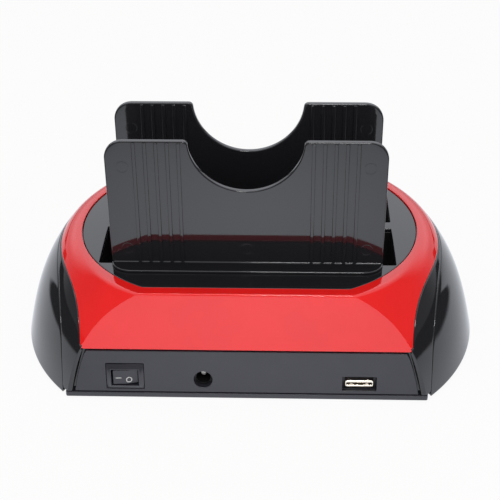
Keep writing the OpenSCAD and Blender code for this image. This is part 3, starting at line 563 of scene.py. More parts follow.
def circle(x, y, radius, steps=32):
    """Counterclockwise loop of a circle."""
    return arc(x, y, radius, 0, 360 * (1 - 1 / steps), steps - 1)


def hole(loop):
    """The loop as a hole: clockwise."""
    return loop[::-1]


def mirrored(points):
    """The points on the other side of the middle, in reverse order."""
    return [Vector((-p.x, p.y)) for p in reversed(points)]


def block(name, lowest, highest, edge_r, segments=2):
    """Box between two corners with rounded edges."""
    bm = bmesh.new()
    bmesh.ops.create_cube(bm, size=1)
    size = Vector(highest) - Vector(lowest)
    for v in bm.verts:
        v.co = Vector([low_c + (c + 0.5) * s for low_c, c, s in zip(lowest, v.co, size)])
    if edge_r:
        bmesh.ops.bevel(
            bm, geom=bm.edges[:], offset=edge_r, offset_type="OFFSET", segments=segments, profile=0.5,
            affect="EDGES", clamp_overlap=True,
        )
    return mesh_of(name, bm)


def turned(name, profile, steps):
    """Solid turned about the upright axis from a profile of (radius, height), with closed ends."""
    bm = bmesh.new()
    rings = []
    for radius, z in profile:
        turns = stations(0, 2 * math.pi, steps)[:-1] if radius > 0 else [0]
        rings.append([bm.verts.new((radius * math.cos(a), radius * math.sin(a), z)) for a in turns])
    for a, b in zip(rings, rings[1:]):
        join_rings(bm, a, b)
    return mesh_of(name, bm)


def rounded_rod(radius, bottom, top, edge_r):
    """Profile of a rod with rounded ends."""
    rounding = quarter_round(edge_r)
    start = [(radius - inset, bottom + rise) for inset, rise in rounding]
    end = [(radius - inset, top - rise) for inset, rise in reversed(rounding)]
    return [(0, bottom), *start, *end, (0, top)]


def placed(mesh, matrix):
    """The mesh, moved by a matrix."""
    mesh.transform(matrix)
    if matrix.determinant() < 0:
        mesh.flip_normals()
    return mesh


REPEAT_INPUTS = (
    ("Piece", "NodeSocketObject"), ("Columns", "NodeSocketInt"), ("Rows", "NodeSocketInt"),
    ("Width", "NodeSocketFloat"), ("Depth", "NodeSocketFloat"), ("Centre", "NodeSocketVector"),
    ("Finish", "NodeSocketMaterial"),
)


def repeat_tree():
    """Geometry tree that stands copies of a piece on a grid of points."""
    name = "Repeat a piece"
    if name in bpy.data.node_groups:
        return bpy.data.node_groups[name]
    tree = bpy.data.node_groups.new(name, "GeometryNodeTree")
    for label, kind in REPEAT_INPUTS:
        tree.interface.new_socket(label, in_out="INPUT", socket_type=kind)
    tree.interface.new_socket("Mesh", in_out="OUTPUT", socket_type="NodeSocketGeometry")
    given = tree.nodes.new("NodeGroupInput").outputs
    points = node_of(
        tree, "GeometryNodeMeshGrid", Size_X=given["Width"], Size_Y=given["Depth"],
        Vertices_X=given["Columns"], Vertices_Y=given["Rows"],
    ).outputs["Mesh"]
    moved = node_of(tree, "GeometryNodeTransform", Geometry=points, Translation=given["Centre"])
    one = node_of(tree, "GeometryNodeObjectInfo", Object=given["Piece"]).outputs["Geometry"]
    copies = node_of(tree, "GeometryNodeInstanceOnPoints", Points=moved.outputs["Geometry"], Instance=one)
    real = node_of(tree, "GeometryNodeRealizeInstances", Geometry=copies.outputs["Instances"])
    finished = node_of(
        tree, "GeometryNodeSetMaterial", Geometry=real.outputs["Geometry"], Material=given["Finish"]
    )
    node_of(tree, "NodeGroupOutput", Mesh=finished.outputs["Geometry"])
    set_out(tree)
    return tree


def repeated(name, mesh, finish, columns, rows=1, width=0.0, depth=0.0, centre=(0, 0, 0)):
    """Mesh repeated over a grid."""
    tree = repeat_tree()
    one = bpy.data.objects.new(name + "_piece", mesh)
    carrier = bpy.data.objects.new(name + "_grid", bpy.data.meshes.new(name + "_grid"))
    for obj in (one, carrier):
        bpy.context.scene.collection.objects.link(obj)
    modifier = carrier.modifiers.new("Repeat", "NODES")
    modifier.node_group = tree
    values = {
        "Piece": one, "Columns": columns, "Rows": rows, "Width": width, "Depth": depth,
        "Centre": centre, "Finish": finish,
    }
    for item in tree.interface.items_tree:
        if item.in_out == "INPUT":
            modifier[item.identifier] = values[item.name]
    result = plain_mesh(carrier, name)
    for obj in (one, carrier):
        bpy.data.objects.remove(obj)
    return result


def plain_mesh(obj, name):
    """Plain mesh of an object with its modifiers applied."""
    bpy.context.view_layer.update()
    mesh = bpy.data.meshes.new_from_object(obj.evaluated_get(bpy.context.evaluated_depsgraph_get()))
    mesh.name = name
    return mesh


SMOOTH_ANGLE = math.radians(50)
FACE_WEIGHT = 80
UNMOVED = Matrix.Identity(4)


def piece(name, node, meshes, at=UNMOVED, finishes=None, slot=None, stands_for_node=True):
    """Finished piece of one or more meshes, with a finish for each or the node's own for all."""
    bm = bmesh.new()
    for index, mesh in enumerate(meshes):
        start = len(bm.faces)
        bm.from_mesh(placed(mesh, at))
        bm.faces.ensure_lookup_table()
        for face in bm.faces[start:]:
            face.material_index = index if finishes else 0
            face.smooth = True
    merged = bpy.data.meshes.new(name)
    bm.to_mesh(merged)
    bm.free()
    for slot_name in finishes or [SLOT_OF[node]]:
        merged.materials.append(finish_for(slot_name))
    merged.set_sharp_from_angle(angle=SMOOTH_ANGLE)
    obj = bpy.data.objects.new(name, merged)
    bpy.context.scene.collection.objects.link(obj)
    weighted = obj.modifiers.new("Even shading", "WEIGHTED_NORMAL")
    weighted.keep_sharp = True
    weighted.weight = FACE_WEIGHT
    obj.data = plain_mesh(obj, name)
    obj.modifiers.clear()
    bpy.data.meshes.remove(merged)
    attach(obj, BODY_OF[node])
    slot or SLOT_OF[node]
    if stands_for_node:
        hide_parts(node)


# The body's outline: columns run up the skin, each at a fixed share of one stretch of it

FACE, STRIP, BACK, FILLET, END = range(5)


def half_width(b, up):
    """Half width of the body at mid-depth, at a height."""
    t = up / b.height
    return b.half_w - b.end_draw_in * (b.even_share * t + (1 - b.even_share) * t ** b.bulge_power)


def face_y(b, up):
    """Distance of the long sides from mid-depth, at a height."""
    return b.half_d - b.face_draw_in * up / b.height


def axis_x(b, up):
    """Distance of the ends' axes from the middle, at a height."""
    return b.foot_axis_x + (b.rim_axis_x - b.foot_axis_x) * up / b.height


def corner_x(b, up):
    """Distance of the upright corners from the middle, at a height."""
    radius = half_width(b, up) - axis_x(b, up)
    return axis_x(b, up) + math.sqrt(radius ** 2 - face_y(b, up) ** 2)


def groove_x(b, p, up):
    """Distance of the port panel's groove's outer edge from the middle, at a height."""
    top = b.tray_h + p.height
    return corner_x(b, up) - p.strip_foot_w + (p.strip_foot_w - p.strip_top_w) * up / top


def stretch_start(b, zone, up):
    """Distance from the middle at which a stretch of a long side starts."""
    p = bpy.context.scene.dock_panels
    if zone == STRIP:
        return groove_x(b, p, up)
    return p.control_half_w + p.groove if zone == BACK else 0


def outline_point(b, column, up, inset=0.0):
    """Point of the body's outline on a column, at a height, moved inwards by the inset."""
    zone, share, x_side, y_side = column
    least_r = 0.05 * MM
    axis = axis_x(b, up)
    radius = half_width(b, up) - axis - inset
    face = face_y(b, up) - inset
    fillet = max(b.corner_r - inset, least_r)
    fillet_x = axis + math.sqrt((radius - fillet) ** 2 - (face - fillet) ** 2)
    end_angle = math.atan2(face - fillet, fillet_x - axis)
    if zone in (FACE, STRIP, BACK):
        start = stretch_start(b, zone, up)
        x, y = start + (fillet_x - start) * share, face
    elif zone == FILLET:
        angle = math.pi / 2 + (end_angle - math.pi / 2) * share
        x, y = fillet_x + fillet * math.cos(angle), face - fillet + fillet * math.sin(angle)
    else:
        angle = end_angle * (1 - share)
        x, y = axis + radius * math.cos(angle), radius * math.sin(angle)
    return Vector((x_side * x, y_side * y))


def skin_point(b, column, up, inset=0.0):
    """Point of the body's outer surface."""
    flat = outline_point(b, column, up, inset)
    return Vector((flat.x, flat.y, BODY_LOW + up))


FACE_COLUMNS = 26
FILLET_COLUMNS = 5
END_COLUMNS = 44
END_CROWDING = 1.35


def quarter_columns():
    """Stretches and shares from the middle of a long side to the middle of an end."""
    face = [(FACE, math.sin(math.pi / 2 * i / FACE_COLUMNS)) for i in range(FACE_COLUMNS + 1)]
    fillet = [(FILLET, i / FILLET_COLUMNS) for i in range(1, FILLET_COLUMNS + 1)]
    end = [(END, (i / END_COLUMNS) ** END_CROWDING) for i in range(1, END_COLUMNS + 1)]
    return face + fillet + end


def loop_columns():
    """Columns right round the body, from the middle of the port side by way of the right end."""
    forth = quarter_columns()
    back = forth[::-1]
    return (
        [(*c, 1, -1) for c in forth] + [(*c, 1, 1) for c in back[1:]]
        + [(*c, -1, 1) for c in forth[1:]] + [(*c, -1, -1) for c in back[1:-1]]
    )


HALVINGS = 40


def bisect(low_end, high_end, is_past):
    """Value between two ends from which on the test holds."""
    for _ in range(HALVINGS):
        mid = (low_end + high_end) / 2
        if is_past(mid):
            high_end = mid
        else:
            low_end = mid
    return (low_end + high_end) / 2


def smoothstep(t):
    """Smooth rise from 0 to 1."""
    t = min(1, max(0, t))
    return t * t * (3 - 2 * t)


def red_edge_up(b, c, column):
    """Height of the red cover's lower edge on a column."""
    if column[0] == FILLET:
        return c.red_face_up + c.red_corner_r
    reach = face_y(b, c.red_face_up)

    def edge_at(up):
        """Height of the edge's curve beside the column's point."""
        point = outline_point(b, column, up)
        if column[0] == END:
            fall = min(1, abs(point.y) / reach) ** c.red_power
            curve = c.red_end_up - (c.red_end_up - c.red_face_up) * fall
            return max(curve, c.red_face_up + c.red_corner_r)
        over = min(c.red_corner_r, max(0, abs(point.x) - c.red_half_w + c.red_corner_r))
        return c.red_face_up + c.red_corner_r - math.sqrt(c.red_corner_r ** 2 - over ** 2)

    return bisect(c.red_face_up - MM, c.red_end_up + MM, lambda up: edge_at(up) < up)


def seam_up(b, c, column):
    """Height of a side cover's upper edge on a column of a rounded end."""
    def is_inside(up):
        """Whether the surface has drawn in past the edge."""
        point = outline_point(b, column, up)
        seam = c.seam_end_x - c.seam_draw_in * smoothstep(abs(point.y) / c.seam_reach)
        return abs(point.x) < seam

    return bisect(0, b.height, is_inside)


def wall_section(b, column, bottom, top, thickness, edge_r, rows, pull=0.0):
    """Closed section of a skin on one column, with rounded outer edges."""
    radii_in_height = 2.2
    edge_r = min(edge_r, (top - bottom) / radii_in_height)
    rounding = quarter_round(edge_r)
    section = [skin_point(b, column, bottom + rise, inset + pull) for inset, rise in rounding]
    flat_ups = stations(bottom + edge_r, top - edge_r, rows)[1:-1]
    section += [skin_point(b, column, up, pull) for up in flat_ups]
    section += [skin_point(b, column, top - rise, inset + pull) for inset, rise in reversed(rounding)]
    inner_rows = 4
    return section + [skin_point(b, column, up, thickness) for up in stations(top, bottom, inner_rows)]


def bezier(a, b, c, t):
    """Point of a curve that rounds the corner b between a and c."""
    return a * (1 - t) ** 2 + b * 2 * t * (1 - t) + c * t * t


def face_lean(b):
    """Angle by which the long sides lean back."""
    return math.atan2(b.face_draw_in, b.height)


def face_matrix(b, side):
    """Places face coordinates on a long side: X along it, Y up it, Z out of it."""
    onto = Matrix.Translation((0, -b.half_d, BODY_LOW)) @ Matrix.Rotation(math.pi / 2 - face_lean(b), 4, "X")
    return Matrix.Rotation(0 if side < 0 else math.pi, 4, "Z") @ onto


def panel_low(b, p):
    """Lower edge of both panels, along the face."""
    lean = face_lean(b)
    return (b.tray_h + (p.set_back + p.thickness) * math.sin(lean)) / math.cos(lean)


BUTTON_HOLE_R = 5.3 * MM
LIGHT_HOLE_R = 1.7 * MM
LIGHT_X = (16 * MM, 24 * MM)


def control_up(b, p):
    """Height of the button and the lights along the control face."""
    button_rise = 10.3 * MM
    return panel_low(b, p) + button_rise


def upright(x, y, z):
    """Stands a flat mesh up at a place: its Y runs up, its Z towards the ports."""
    return Matrix.Translation((x, y, z)) @ Matrix.Rotation(math.pi / 2, 4, "X")


# Operators, one for each piece or group of like pieces


class DOCK_OT_top_cover(Operator):
    """Red gloss cover: flanks from its wavy lower edge to a soft crest, and the flat rim round the deck"""

    bl_idname = "dock.top_cover"
    bl_label = "Top cover"
    bl_options = {"REGISTER", "UNDO"}

    def execute(self, context):
        b, c = context.scene.dock_body, context.scene.dock_covers
        sections = [self.section(b, c, column) for column in loop_columns()]
        piece("red_top_cover", "top_cover", [swept("cover", sections, True)])
        return {"FINISHED"}

    def section(self, b, c, column):
        """Closed section of the cover on one column."""
        edge, widening = red_edge_up(b, c, column), 1.6
        end_share = smoothstep(column[1] * widening) if column[0] == END else 0
        crest = c.crest_face_r + (c.crest_end_r - c.crest_face_r) * end_share
        flank = b.height - crest
        points = [skin_point(b, column, edge + rise, inset) for inset, rise in quarter_round(c.edge_r)]
        flank_rows, crest_steps, hole_steps, inner_rows = 16, 6, 3, 8
        ups = stations(edge + c.edge_r, flank, flank_rows)[1:]
        points += [skin_point(b, column, up) for up in ups]
        start, peak = points[-1], skin_point(b, column, b.height)
        flat = skin_point(b, column, b.height, crest)
        points += [bezier(start, peak, flat, t) for t in stations(0, 1, crest_steps)[1:]]
        hole_r = 0.3 * MM
        start = skin_point(b, column, b.height, c.rim_w - hole_r)
        peak = skin_point(b, column, b.height, c.rim_w)
        wall_top = peak - Vector((0, 0, hole_r))
        points.append(flat.lerp(start, 0.5))
        points += [bezier(start, peak, wall_top, t) for t in stations(0, 1, hole_steps)]
        points.append(peak - Vector((0, 0, c.rim_drop)))
        ups = stations(b.height - c.rim_drop, edge, inner_rows)
        return points + [skin_point(b, column, up, c.cover_wall) for up in ups]


class DOCK_OT_side_covers(Operator):
    """Bulging black gloss covers over the two rounded ends"""

    bl_idname = "dock.side_covers"
    bl_label = "Side covers"
    bl_options = {"REGISTER", "UNDO"}

    def execute(self, context):
        b, c = context.scene.dock_body, context.scene.dock_covers
        least = c.cover_lift + 2 * c.edge_r
        reach = bisect(1, 0, lambda share: seam_up(b, c, (END, share, 1, 1)) < least)
        steps = 64
        for side, name in ((-1, "left_side_cover"), (1, "right_side_cover")):
            sections = []
            for i in range(-steps, steps + 1):
                share = 1 - (1 - reach) * math.sin(math.pi / 2 * abs(i) / steps)
                column = (END, share, side, -1 if i < 0 else 1)
                top = seam_up(b, c, column)
                sections.append(wall_section(b, column, c.cover_lift, top, c.cover_wall, c.edge_r, rows=22))
            piece(name + "_skin", name, [swept(name, sections, False)])
        return {"FINISHED"}


class DOCK_OT_body_shell(Operator):
    """Black body shell: the strips between the covers, the ledges behind the panels and the core"""

    bl_idname = "dock.body_shell"
    bl_label = "Body shell"
    bl_options = {"REGISTER", "UNDO"}

    def execute(self, context):
        scene = context.scene
        b, c, p = scene.dock_body, scene.dock_covers, scene.dock_panels
        parts = [self.band(b, c, side) for side in SIDES]
        parts += [self.ledge(b, c, p, side) for side in SIDES]
        parts += [self.core(b, c, p), self.ceiling(b, c)]
        piece("black_body_shell", "body_shell", parts)
        return {"FINISHED"}

    def band(self, b, c, side):
        """Strip from the port panel's groove round one end to the control panel's groove."""
        gap = c.seam_gap
        edge = [(along, pull) for pull, along in quarter_round(c.edge_r)]
        strip_l, back_l, back_steps = 1.2 * MM, 30 * MM, 12
        run = [(STRIP, along / strip_l, -1, pull) for along, pull in edge]
        run += [(STRIP, 0.6, -1, 0), (STRIP, 0.8, -1, 0)]
        run += [(z, s, -1, 0) for z, s in quarter_columns() if z != FACE]
        run += [(z, s, 1, 0) for z, s in quarter_columns()[::-1] if z != FACE][1:]
        run += [(BACK, 1 - i / back_steps, 1, 0) for i in range(back_steps)]
        run += [(BACK, along / back_l, 1, pull) for along, pull in reversed(edge)]
        wall = c.core_inset - 0.1 * MM
        sections = []
        for zone, share, y_side, pull in run:
            column = (zone, share, side, y_side)
            bottom = b.tray_h + gap / 2
            if zone == END:
                bottom = max(bottom, seam_up(b, c, column) + gap)
            top = red_edge_up(b, c, column) - gap
            sections.append(wall_section(b, column, bottom, top, wall, c.edge_r, rows=14, pull=pull))
        return swept("band", sections, False)

    def ledge(self, b, c, p, side):
        """Frame behind a panel that shows at the bottom of its groove."""
        bottom, top = panel_low(b, p) - 1.0 * MM, panel_low(b, p) + p.height
        frame_w, frame_t, past_side, past_top, steps = 1.6 * MM, 1.6 * MM, 1.2 * MM, 2.6 * MM, 8
        if side < 0:
            ups = stations(bottom, top + past_top, steps)
            right = [Vector((groove_x(b, p, up) + past_side, up)) for up in ups]
            outer = right + mirrored(right)
            ups = stations(bottom + frame_w, top - frame_w, steps)
            right = [Vector((groove_x(b, p, up) - p.groove - frame_w, up)) for up in ups]
            inner = right + mirrored(right)
        else:
            reach = p.control_half_w + p.groove + past_side
            outer = rectangle(-reach, bottom, reach, top + past_top)
            reach = p.control_half_w - frame_w
            inner = rectangle(-reach, bottom + frame_w, reach, top - frame_w)
        mesh = plate("ledge", [outer, hole(inner)], -c.core_inset - frame_t, -c.core_inset, edge_r=0.1 * MM)
        return placed(mesh, face_matrix(b, side))

    def core(self, b, c, p):
        """Wall of the core under the covers, open behind both panels."""
        sections = []
        inner_inset, rows = c.core_inset + c.core_wall, 8
        top = b.height - c.rim_drop - DECK_GAP
        above_panels = panel_low(b, p) + p.height + p.groove
        for column in loop_columns():
            x = abs(outline_point(b, column, b.tray_h).x)
            reach = groove_x(b, p, 0) if column[3] < 0 else p.control_half_w + p.groove
            bottom = above_panels if column[0] == FACE and x < reach else b.tray_h + 0.1 * MM
            ups = stations(bottom, top, rows)
            outer = [skin_point(b, column, up, c.core_inset) for up in ups]
            sections.append(outer + [skin_point(b, column, up, inner_inset) for up in reversed(ups)])
        return swept("core", sections, True)

    def ceiling(self, b, c):
        """Plate of the core under the deck, with the bays' openings."""
        overlap, clearance = 0.1 * MM, 0.2 * MM
        up, inset = b.height - c.rim_drop - DECK_GAP, c.core_inset + c.core_wall - overlap
        outer = [outline_point(b, column, up, inset) for column in loop_columns()[::2]]
        holes = [hole(node_rectangle(node, clearance)) for node in BAY_LINERS]
        top = BODY_LOW + up
        return plate("ceiling", [outer, *holes], top - c.core_wall, top, edge_r=0.1 * MM)


FOOT_R = 6 * MM
HEAD_R = 2.6 * MM


def corner_places(node, radius):
    """Places of four round pieces in the corners of a node's box about the middle."""
    corner = high(node)
    return [(sx * (corner.x - radius), sy * (corner.y - radius)) for sx in SIDES for sy in SIDES]


class DOCK_OT_base_tray(Operator):
    """Flat base tray with vents, screw seats and recesses for the feet"""

    bl_idname = "dock.base_tray"
    bl_label = "Base tray"
    bl_options = {"REGISTER", "UNDO"}

    def execute(self, context):
        b, c = context.scene.dock_body, context.scene.dock_covers
        seat, floor_top, pan_wall = BODY_LOW + 1.0 * MM, BODY_LOW + 2.3 * MM, 4 * MM
        foot_hole_r, head_hole_r, shank_hole_r = 6.2 * MM, 2.8 * MM, 1.5 * MM
        feet = [hole(circle(x, y, foot_hole_r)) for x, y in corner_places("rubber_feet", FOOT_R)]
        screws = corner_places("base_screws", HEAD_R)
        heads = [hole(circle(x, y, head_hole_r)) for x, y in screws]
        shanks = [hole(circle(x, y, shank_hole_r, steps=20)) for x, y in screws]
        vents = list(self.vents())
        outer = self.outline(b, c)
        inner = [outline_point(b, column, b.tray_h / 2, pan_wall) for column in loop_columns()[::3]]
        pan = plate("pan", [outer, *feet, *heads, *vents], BODY_LOW, BODY_LOW + b.tray_h, edge_r=0.3 * MM)
        floor = plate("floor", [inner, *shanks, *vents], seat, floor_top, edge_r=0.05 * MM)
        piece("black_base_tray", "base_tray", [pan, floor, self.posts()])
        return {"FINISHED"}

    def outline(self, b, c):
        """Loop of the tray's edge, which draws in under the side covers."""
        loop, start, reach = [], 0.01, 0.03
        for column in loop_columns()[::2]:
            inset = c.core_inset if column[0] == END else 0.0
            inset *= smoothstep((column[1] - start) / reach)
            loop.append(outline_point(b, column, b.tray_h / 2, inset))
        return loop

    def vents(self):
        """Two rows of slots with rounded ends."""
        pitch, half_w, half_l, row_y, slots = 5.4 * MM, 1.2 * MM, 11 * MM, 18 * MM, 9
        for i in range(slots):
            for side in SIDES:
                at = ((i - (slots - 1) / 2) * pitch, side * row_y)
                yield hole(centred(half_w, half_l, corner_r=half_w * 0.9, at=at))

    def posts(self):
        """Four posts that carry the board."""
        post = turned("post", rounded_rod(2.6 * MM, 0.2 * MM, 3.2 * MM, edge_r=0.1 * MM), steps=24)
        return repeated(
            "posts", post, finish_for("black_plastic_satin"), columns=2, rows=2, width=126 * MM,
            depth=54 * MM, centre=(0, 0, BODY_LOW),
        )


class DOCK_OT_deck(Operator):
    """Oval black gloss deck with the two bay openings"""

    bl_idname = "dock.deck"
    bl_label = "Deck"
    bl_options = {"REGISTER", "UNDO"}

    def execute(self, context):
        b, c = context.scene.dock_body, context.scene.dock_covers
        inset = c.rim_w + 0.3 * MM
        columns = [column for column in loop_columns() if column[0] != FILLET]
        outer = [outline_point(b, column, b.height, inset) for column in columns]
        holes = [hole(node_rectangle(node, -BAY_WALL, corner_r=0.5 * MM, steps=2)) for node in BAY_LINERS]
        deck = plate("deck", [outer, *holes], DECK_LOW, DECK_TOP, edge_r=0.45 * MM)
        piece("gloss_deck", "deck_plate", [deck])
        return {"FINISHED"}


class DOCK_OT_bay_liners(Operator):
    """Open boxes under the deck that hold the drives, with a gap in the floor for the connectors"""

    bl_idname = "dock.bay_liners"
    bl_label = "Bay liners"
    bl_options = {"REGISTER", "UNDO"}

    def execute(self, context):
        row_half_w, row_half_d, floor_inset = 62 * MM, 4.8 * MM, 0.3 * MM
        for node in BAY_LINERS:
            a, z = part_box(node)
            outer = node_rectangle(node, 0, corner_r=0.8 * MM)
            inner = node_rectangle(node, -BAY_WALL, corner_r=0.5 * MM)
            walls = plate("walls", [outer, hole(inner)], a.z, z.z, edge_r=0.2 * MM)
            row_hole = hole(centred(row_half_w, row_half_d, corner_r=0.5 * MM, at=(0, middle(node).y)))
            edge = node_rectangle(node, -floor_inset, corner_r=0.5 * MM)
            floor = plate("floor", [edge, row_hole], a.z + 0.05 * MM, a.z + BAY_WALL, edge_r=0.1 * MM)
            piece(node + "_box", node, [walls, floor])
        return {"FINISHED"}


class DOCK_OT_guide_plates(Operator):
    """Upright plates with a finger cut-out, ribs, ejector marks, a foot and a tongue"""

    bl_idname = "dock.guide_plates"
    bl_label = "Guide plates"
    bl_options = {"REGISTER", "UNDO"}

    def execute(self, context):
        g = context.scene.dock_guides
        for node in ("near_guide_plate", "far_guide_plate"):
            back = high(node).y
            face = back - g.thickness
            slab = plate("slab", [self.outline(g)], 0, g.thickness, g.edge_r)
            meshes = (slab, *self.ribs(g), *self.marks(g))
            parts = [placed(mesh, upright(0, back, DECK_TOP)) for mesh in meshes]
            parts += [self.foot(g, face, low(node).y), self.fillet(g, face), self.tongue(g, back)]
            piece(node.replace("_plate", "_upright"), node, parts)
        return {"FINISHED"}

    def tongue(self, g, back):
        """Tongue that stands in the bay."""
        x, front = g.half_w - g.tongue_inset, back - g.thickness + GUIDE_OVERHANG + 0.2 * MM
        lowest, highest = (-x, front, DECK_TOP - g.tongue_h), (x, back, DECK_TOP + g.foot_t)
        return block("tongue", lowest, highest, edge_r=0.4 * MM)

    def outline(self, g):
        """Counterclockwise loop of the plate, with the cut-out and its lips."""
        w, h, r = g.half_w, g.height, g.corner_r
        centre_y = h + g.cutout_rise
        lip_y = h - g.lip_r
        lip_x = math.sqrt((g.cutout_r + g.lip_r) ** 2 - (centre_y - lip_y) ** 2)
        meet = math.degrees(math.atan2(lip_y - centre_y, lip_x))
        foot_r = 0.8 * MM
        right = arc(w - foot_r, foot_r, foot_r, -90, 0, steps=3) + arc(w - r, h - r, r, 0, 90, steps=14)
        right += arc(lip_x, lip_y, g.lip_r, 90, 180 + meet, steps=6)
        cut = arc(0, centre_y, g.cutout_r, meet, -180 - meet, steps=48)[1:-1]
        return right + cut + mirrored(right)

    def ribs(self, g):
        """Upright ribs on the plate's face, on both sides of the cut-out."""
        sunk, top = 0.3 * MM, g.height - 0.7 * MM
        lowest, highest = (-g.rib_w / 2, g.foot_t, -sunk), (g.rib_w / 2, top, g.rib_h)
        rib = block("rib", lowest, highest, edge_r=0.24 * MM, segments=3)
        run = (g.rib_count - 1) * g.rib_pitch
        for side in SIDES:
            centre = (side * (g.rib_x + run / 2), 0, g.thickness)
            finish = finish_for("black_plastic_gloss")
            yield repeated("ribs", rib.copy(), finish, g.rib_count, width=run, centre=centre)

    def marks(self, g):
        """Faint round ejector marks on the plate's face."""
        width, height, sunk, deeper = 0.3 * MM, 0.09 * MM, -0.05 * MM, -0.08 * MM
        r, inner, ridge, shoulder = g.mark_r, g.mark_r - width, g.mark_r - width / 2, height * 0.6
        profile = (
            (inner, sunk), (inner, shoulder), (ridge, height), (r, shoulder), (r, sunk), (ridge, deeper),
        )
        turns = stations(0, 2 * math.pi, 36)[:-1]
        sections = [[Vector((q * math.cos(a), q * math.sin(a), z)) for q, z in profile] for a in turns]
        ring = swept("mark", sections, True)
        finish, span = finish_for("black_plastic_gloss"), 2 * g.mark_x
        upper, lower = (0, g.height - g.mark_drop, g.thickness), (0, g.mark_lift, g.thickness)
        yield repeated("upper_marks", ring.copy(), finish, columns=2, width=span, centre=upper)
        yield repeated("lower_marks", ring, finish, columns=3, width=span, centre=lower)

    def fillet(self, g, face):
        """Hollow rounding between the foot and the plate."""
        r, top, sunk = 0.55 * MM, DECK_TOP + g.foot_t, 0.3 * MM
        line = [(face - r + r * math.sin(a), top + r - r * math.cos(a)) for a in stations(0, math.pi / 2, 5)]
        line += [(face + sunk, top + r), (face + sunk, top - sunk), (face - r, top - sunk)]
        reach = g.half_w - 0.9 * MM
        return swept("fillet", [[Vector((x, y, z)) for y, z in line] for x in (-reach, reach)], False)

    def foot(self, g, face, front):
        """Flat foot with widely rounded front corners."""
        w, back = g.half_w, face + 1.2 * MM
        corner = [
            Vector((w - g.foot_corner_w * (1 - math.sin(a)), face + (front - face) * math.cos(a)))
            for a in stations(0, math.pi / 2, 14)
        ] + [Vector((w, back))]
        return plate("foot", [corner + mirrored(corner)], DECK_TOP, DECK_TOP + g.foot_t, edge_r=0.5 * MM)


SWITCH_WALL = 1.4 * MM


class DOCK_OT_port_panel(Operator):
    """Inset satin panel with the switch's seat, the inlet's hole and the data port's window"""

    bl_idname = "dock.port_panel"
    bl_label = "Port panel"
    bl_options = {"REGISTER", "UNDO"}

    def execute(self, context):
        b, p = context.scene.dock_body, context.scene.dock_panels
        onto = face_matrix(b, -1)
        inlet = middle("power_inlet_pin")
        inlet_up = (onto.inverted() @ Vector((inlet.x, low("power_inlet_housing").y, inlet.z))).y
        seat_hole, seat = self.switch_seat(p)
        inlet_hole, collar = self.inlet_collar(p, inlet.x, inlet_up)
        window, pocket = self.port_pocket(p, onto.inverted())
        loops = [self.outline(b, p), hole(seat_hole), hole(inlet_hole), hole(window)]
        panel = plate("panel", loops, -p.set_back - p.thickness, -p.set_back, p.edge_r)
        piece("satin_port_panel", "port_panel", [panel, *seat, *collar, *pocket], onto)
        return {"FINISHED"}

    def outline(self, b, p):
        """Loop of the panel between its grooves, with its top corners cut."""
        bottom, corner_cut, steps = panel_low(b, p), 0.5 * MM, 12
        ups = stations(bottom, bottom + p.height, steps)
        right = [Vector((groove_x(b, p, up) - p.groove, up)) for up in ups]
        right[-1:] = [right[-1] - Vector((0, corner_cut)), right[-1] - Vector((corner_cut, 0))]
        return right + mirrored(right)

    def switch_seat(self, p):
        """Hole for the switch's frame, and the step behind the panel that the frame sits on."""
        back = -p.set_back - p.thickness
        gap, top_gap, step_w, seat_t = 0.1 * MM, 0.5 * MM, 0.6 * MM, 1.0 * MM
        x, up = middle("switch_housing").x, p.switch_up
        w, h = p.switch_open_w / 2 + p.switch_bevel, p.switch_open_h / 2 + p.switch_bevel
        low_up, high_up = up - h - gap, up + h + top_gap
        window = rectangle(x - w - gap, low_up, x + w + gap, high_up, corner_r=0.2 * MM, steps=2)
        outer = rectangle(x - w - step_w, up - h - step_w, x + w + step_w, up + h + 2 * step_w)
        body_w = SWITCH_WALL - p.switch_bevel
        inner = centred(w + body_w, h + body_w, at=(x, up))
        return window, [plate("seat", [outer, hole(inner)], back, back + seat_t, edge_r=0.05 * MM)]

    def inlet_collar(self, p, x, up):
        """Round hole for the inlet, and the collar behind it."""
        back = -p.set_back - p.thickness
        wall, depth, sunk = 0.6 * MM, 1.0 * MM, 0.2 * MM
        loop = circle(x, up, p.inlet_r, steps=48)
        outer = circle(x, up, p.inlet_r + wall, steps=48)
        return loop, [plate("collar", [outer, hole(loop)], back - depth, back + sunk, edge_r=0.1 * MM)]

    def port_pocket(self, p, onto_face):
        """Window of the data port, with the walls and the back of its pocket."""
        back = -p.set_back - p.thickness
        wall, sunk, back_t, depth = 0.6 * MM, 0.2 * MM, 0.3 * MM, 2.1 * MM
        a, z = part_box("data_port_shell")
        bottom, top = (onto_face @ a).y, (onto_face @ Vector((z.x, a.y, z.z))).y
        sides = (a.x - p.port_gap, bottom - p.port_gap, z.x + p.port_gap, top + p.port_top_gap)
        window = rectangle(*sides, corner_r=0.3 * MM, steps=2)
        around = rectangle(*[v + s * wall for v, s in zip(sides, (-1, -1, 1, 1))], corner_r=0.3 * MM, steps=2)
        side_play, low_play, top_play = 0.4 * MM, 0.1 * MM, 0.75 * MM
        shell = rectangle(a.x + side_play, bottom - low_play, z.x - side_play, top - top_play)
        floor = back - depth
        tube = plate("tube", [around, hole(window)], floor, back + sunk, edge_r=0.1 * MM)
        top_of_back = floor + back_t - sunk
        pocket = plate("pocket", [around, hole(shell)], floor - sunk, top_of_back, edge_r=0.05 * MM)
        return window, [tube, pocket]


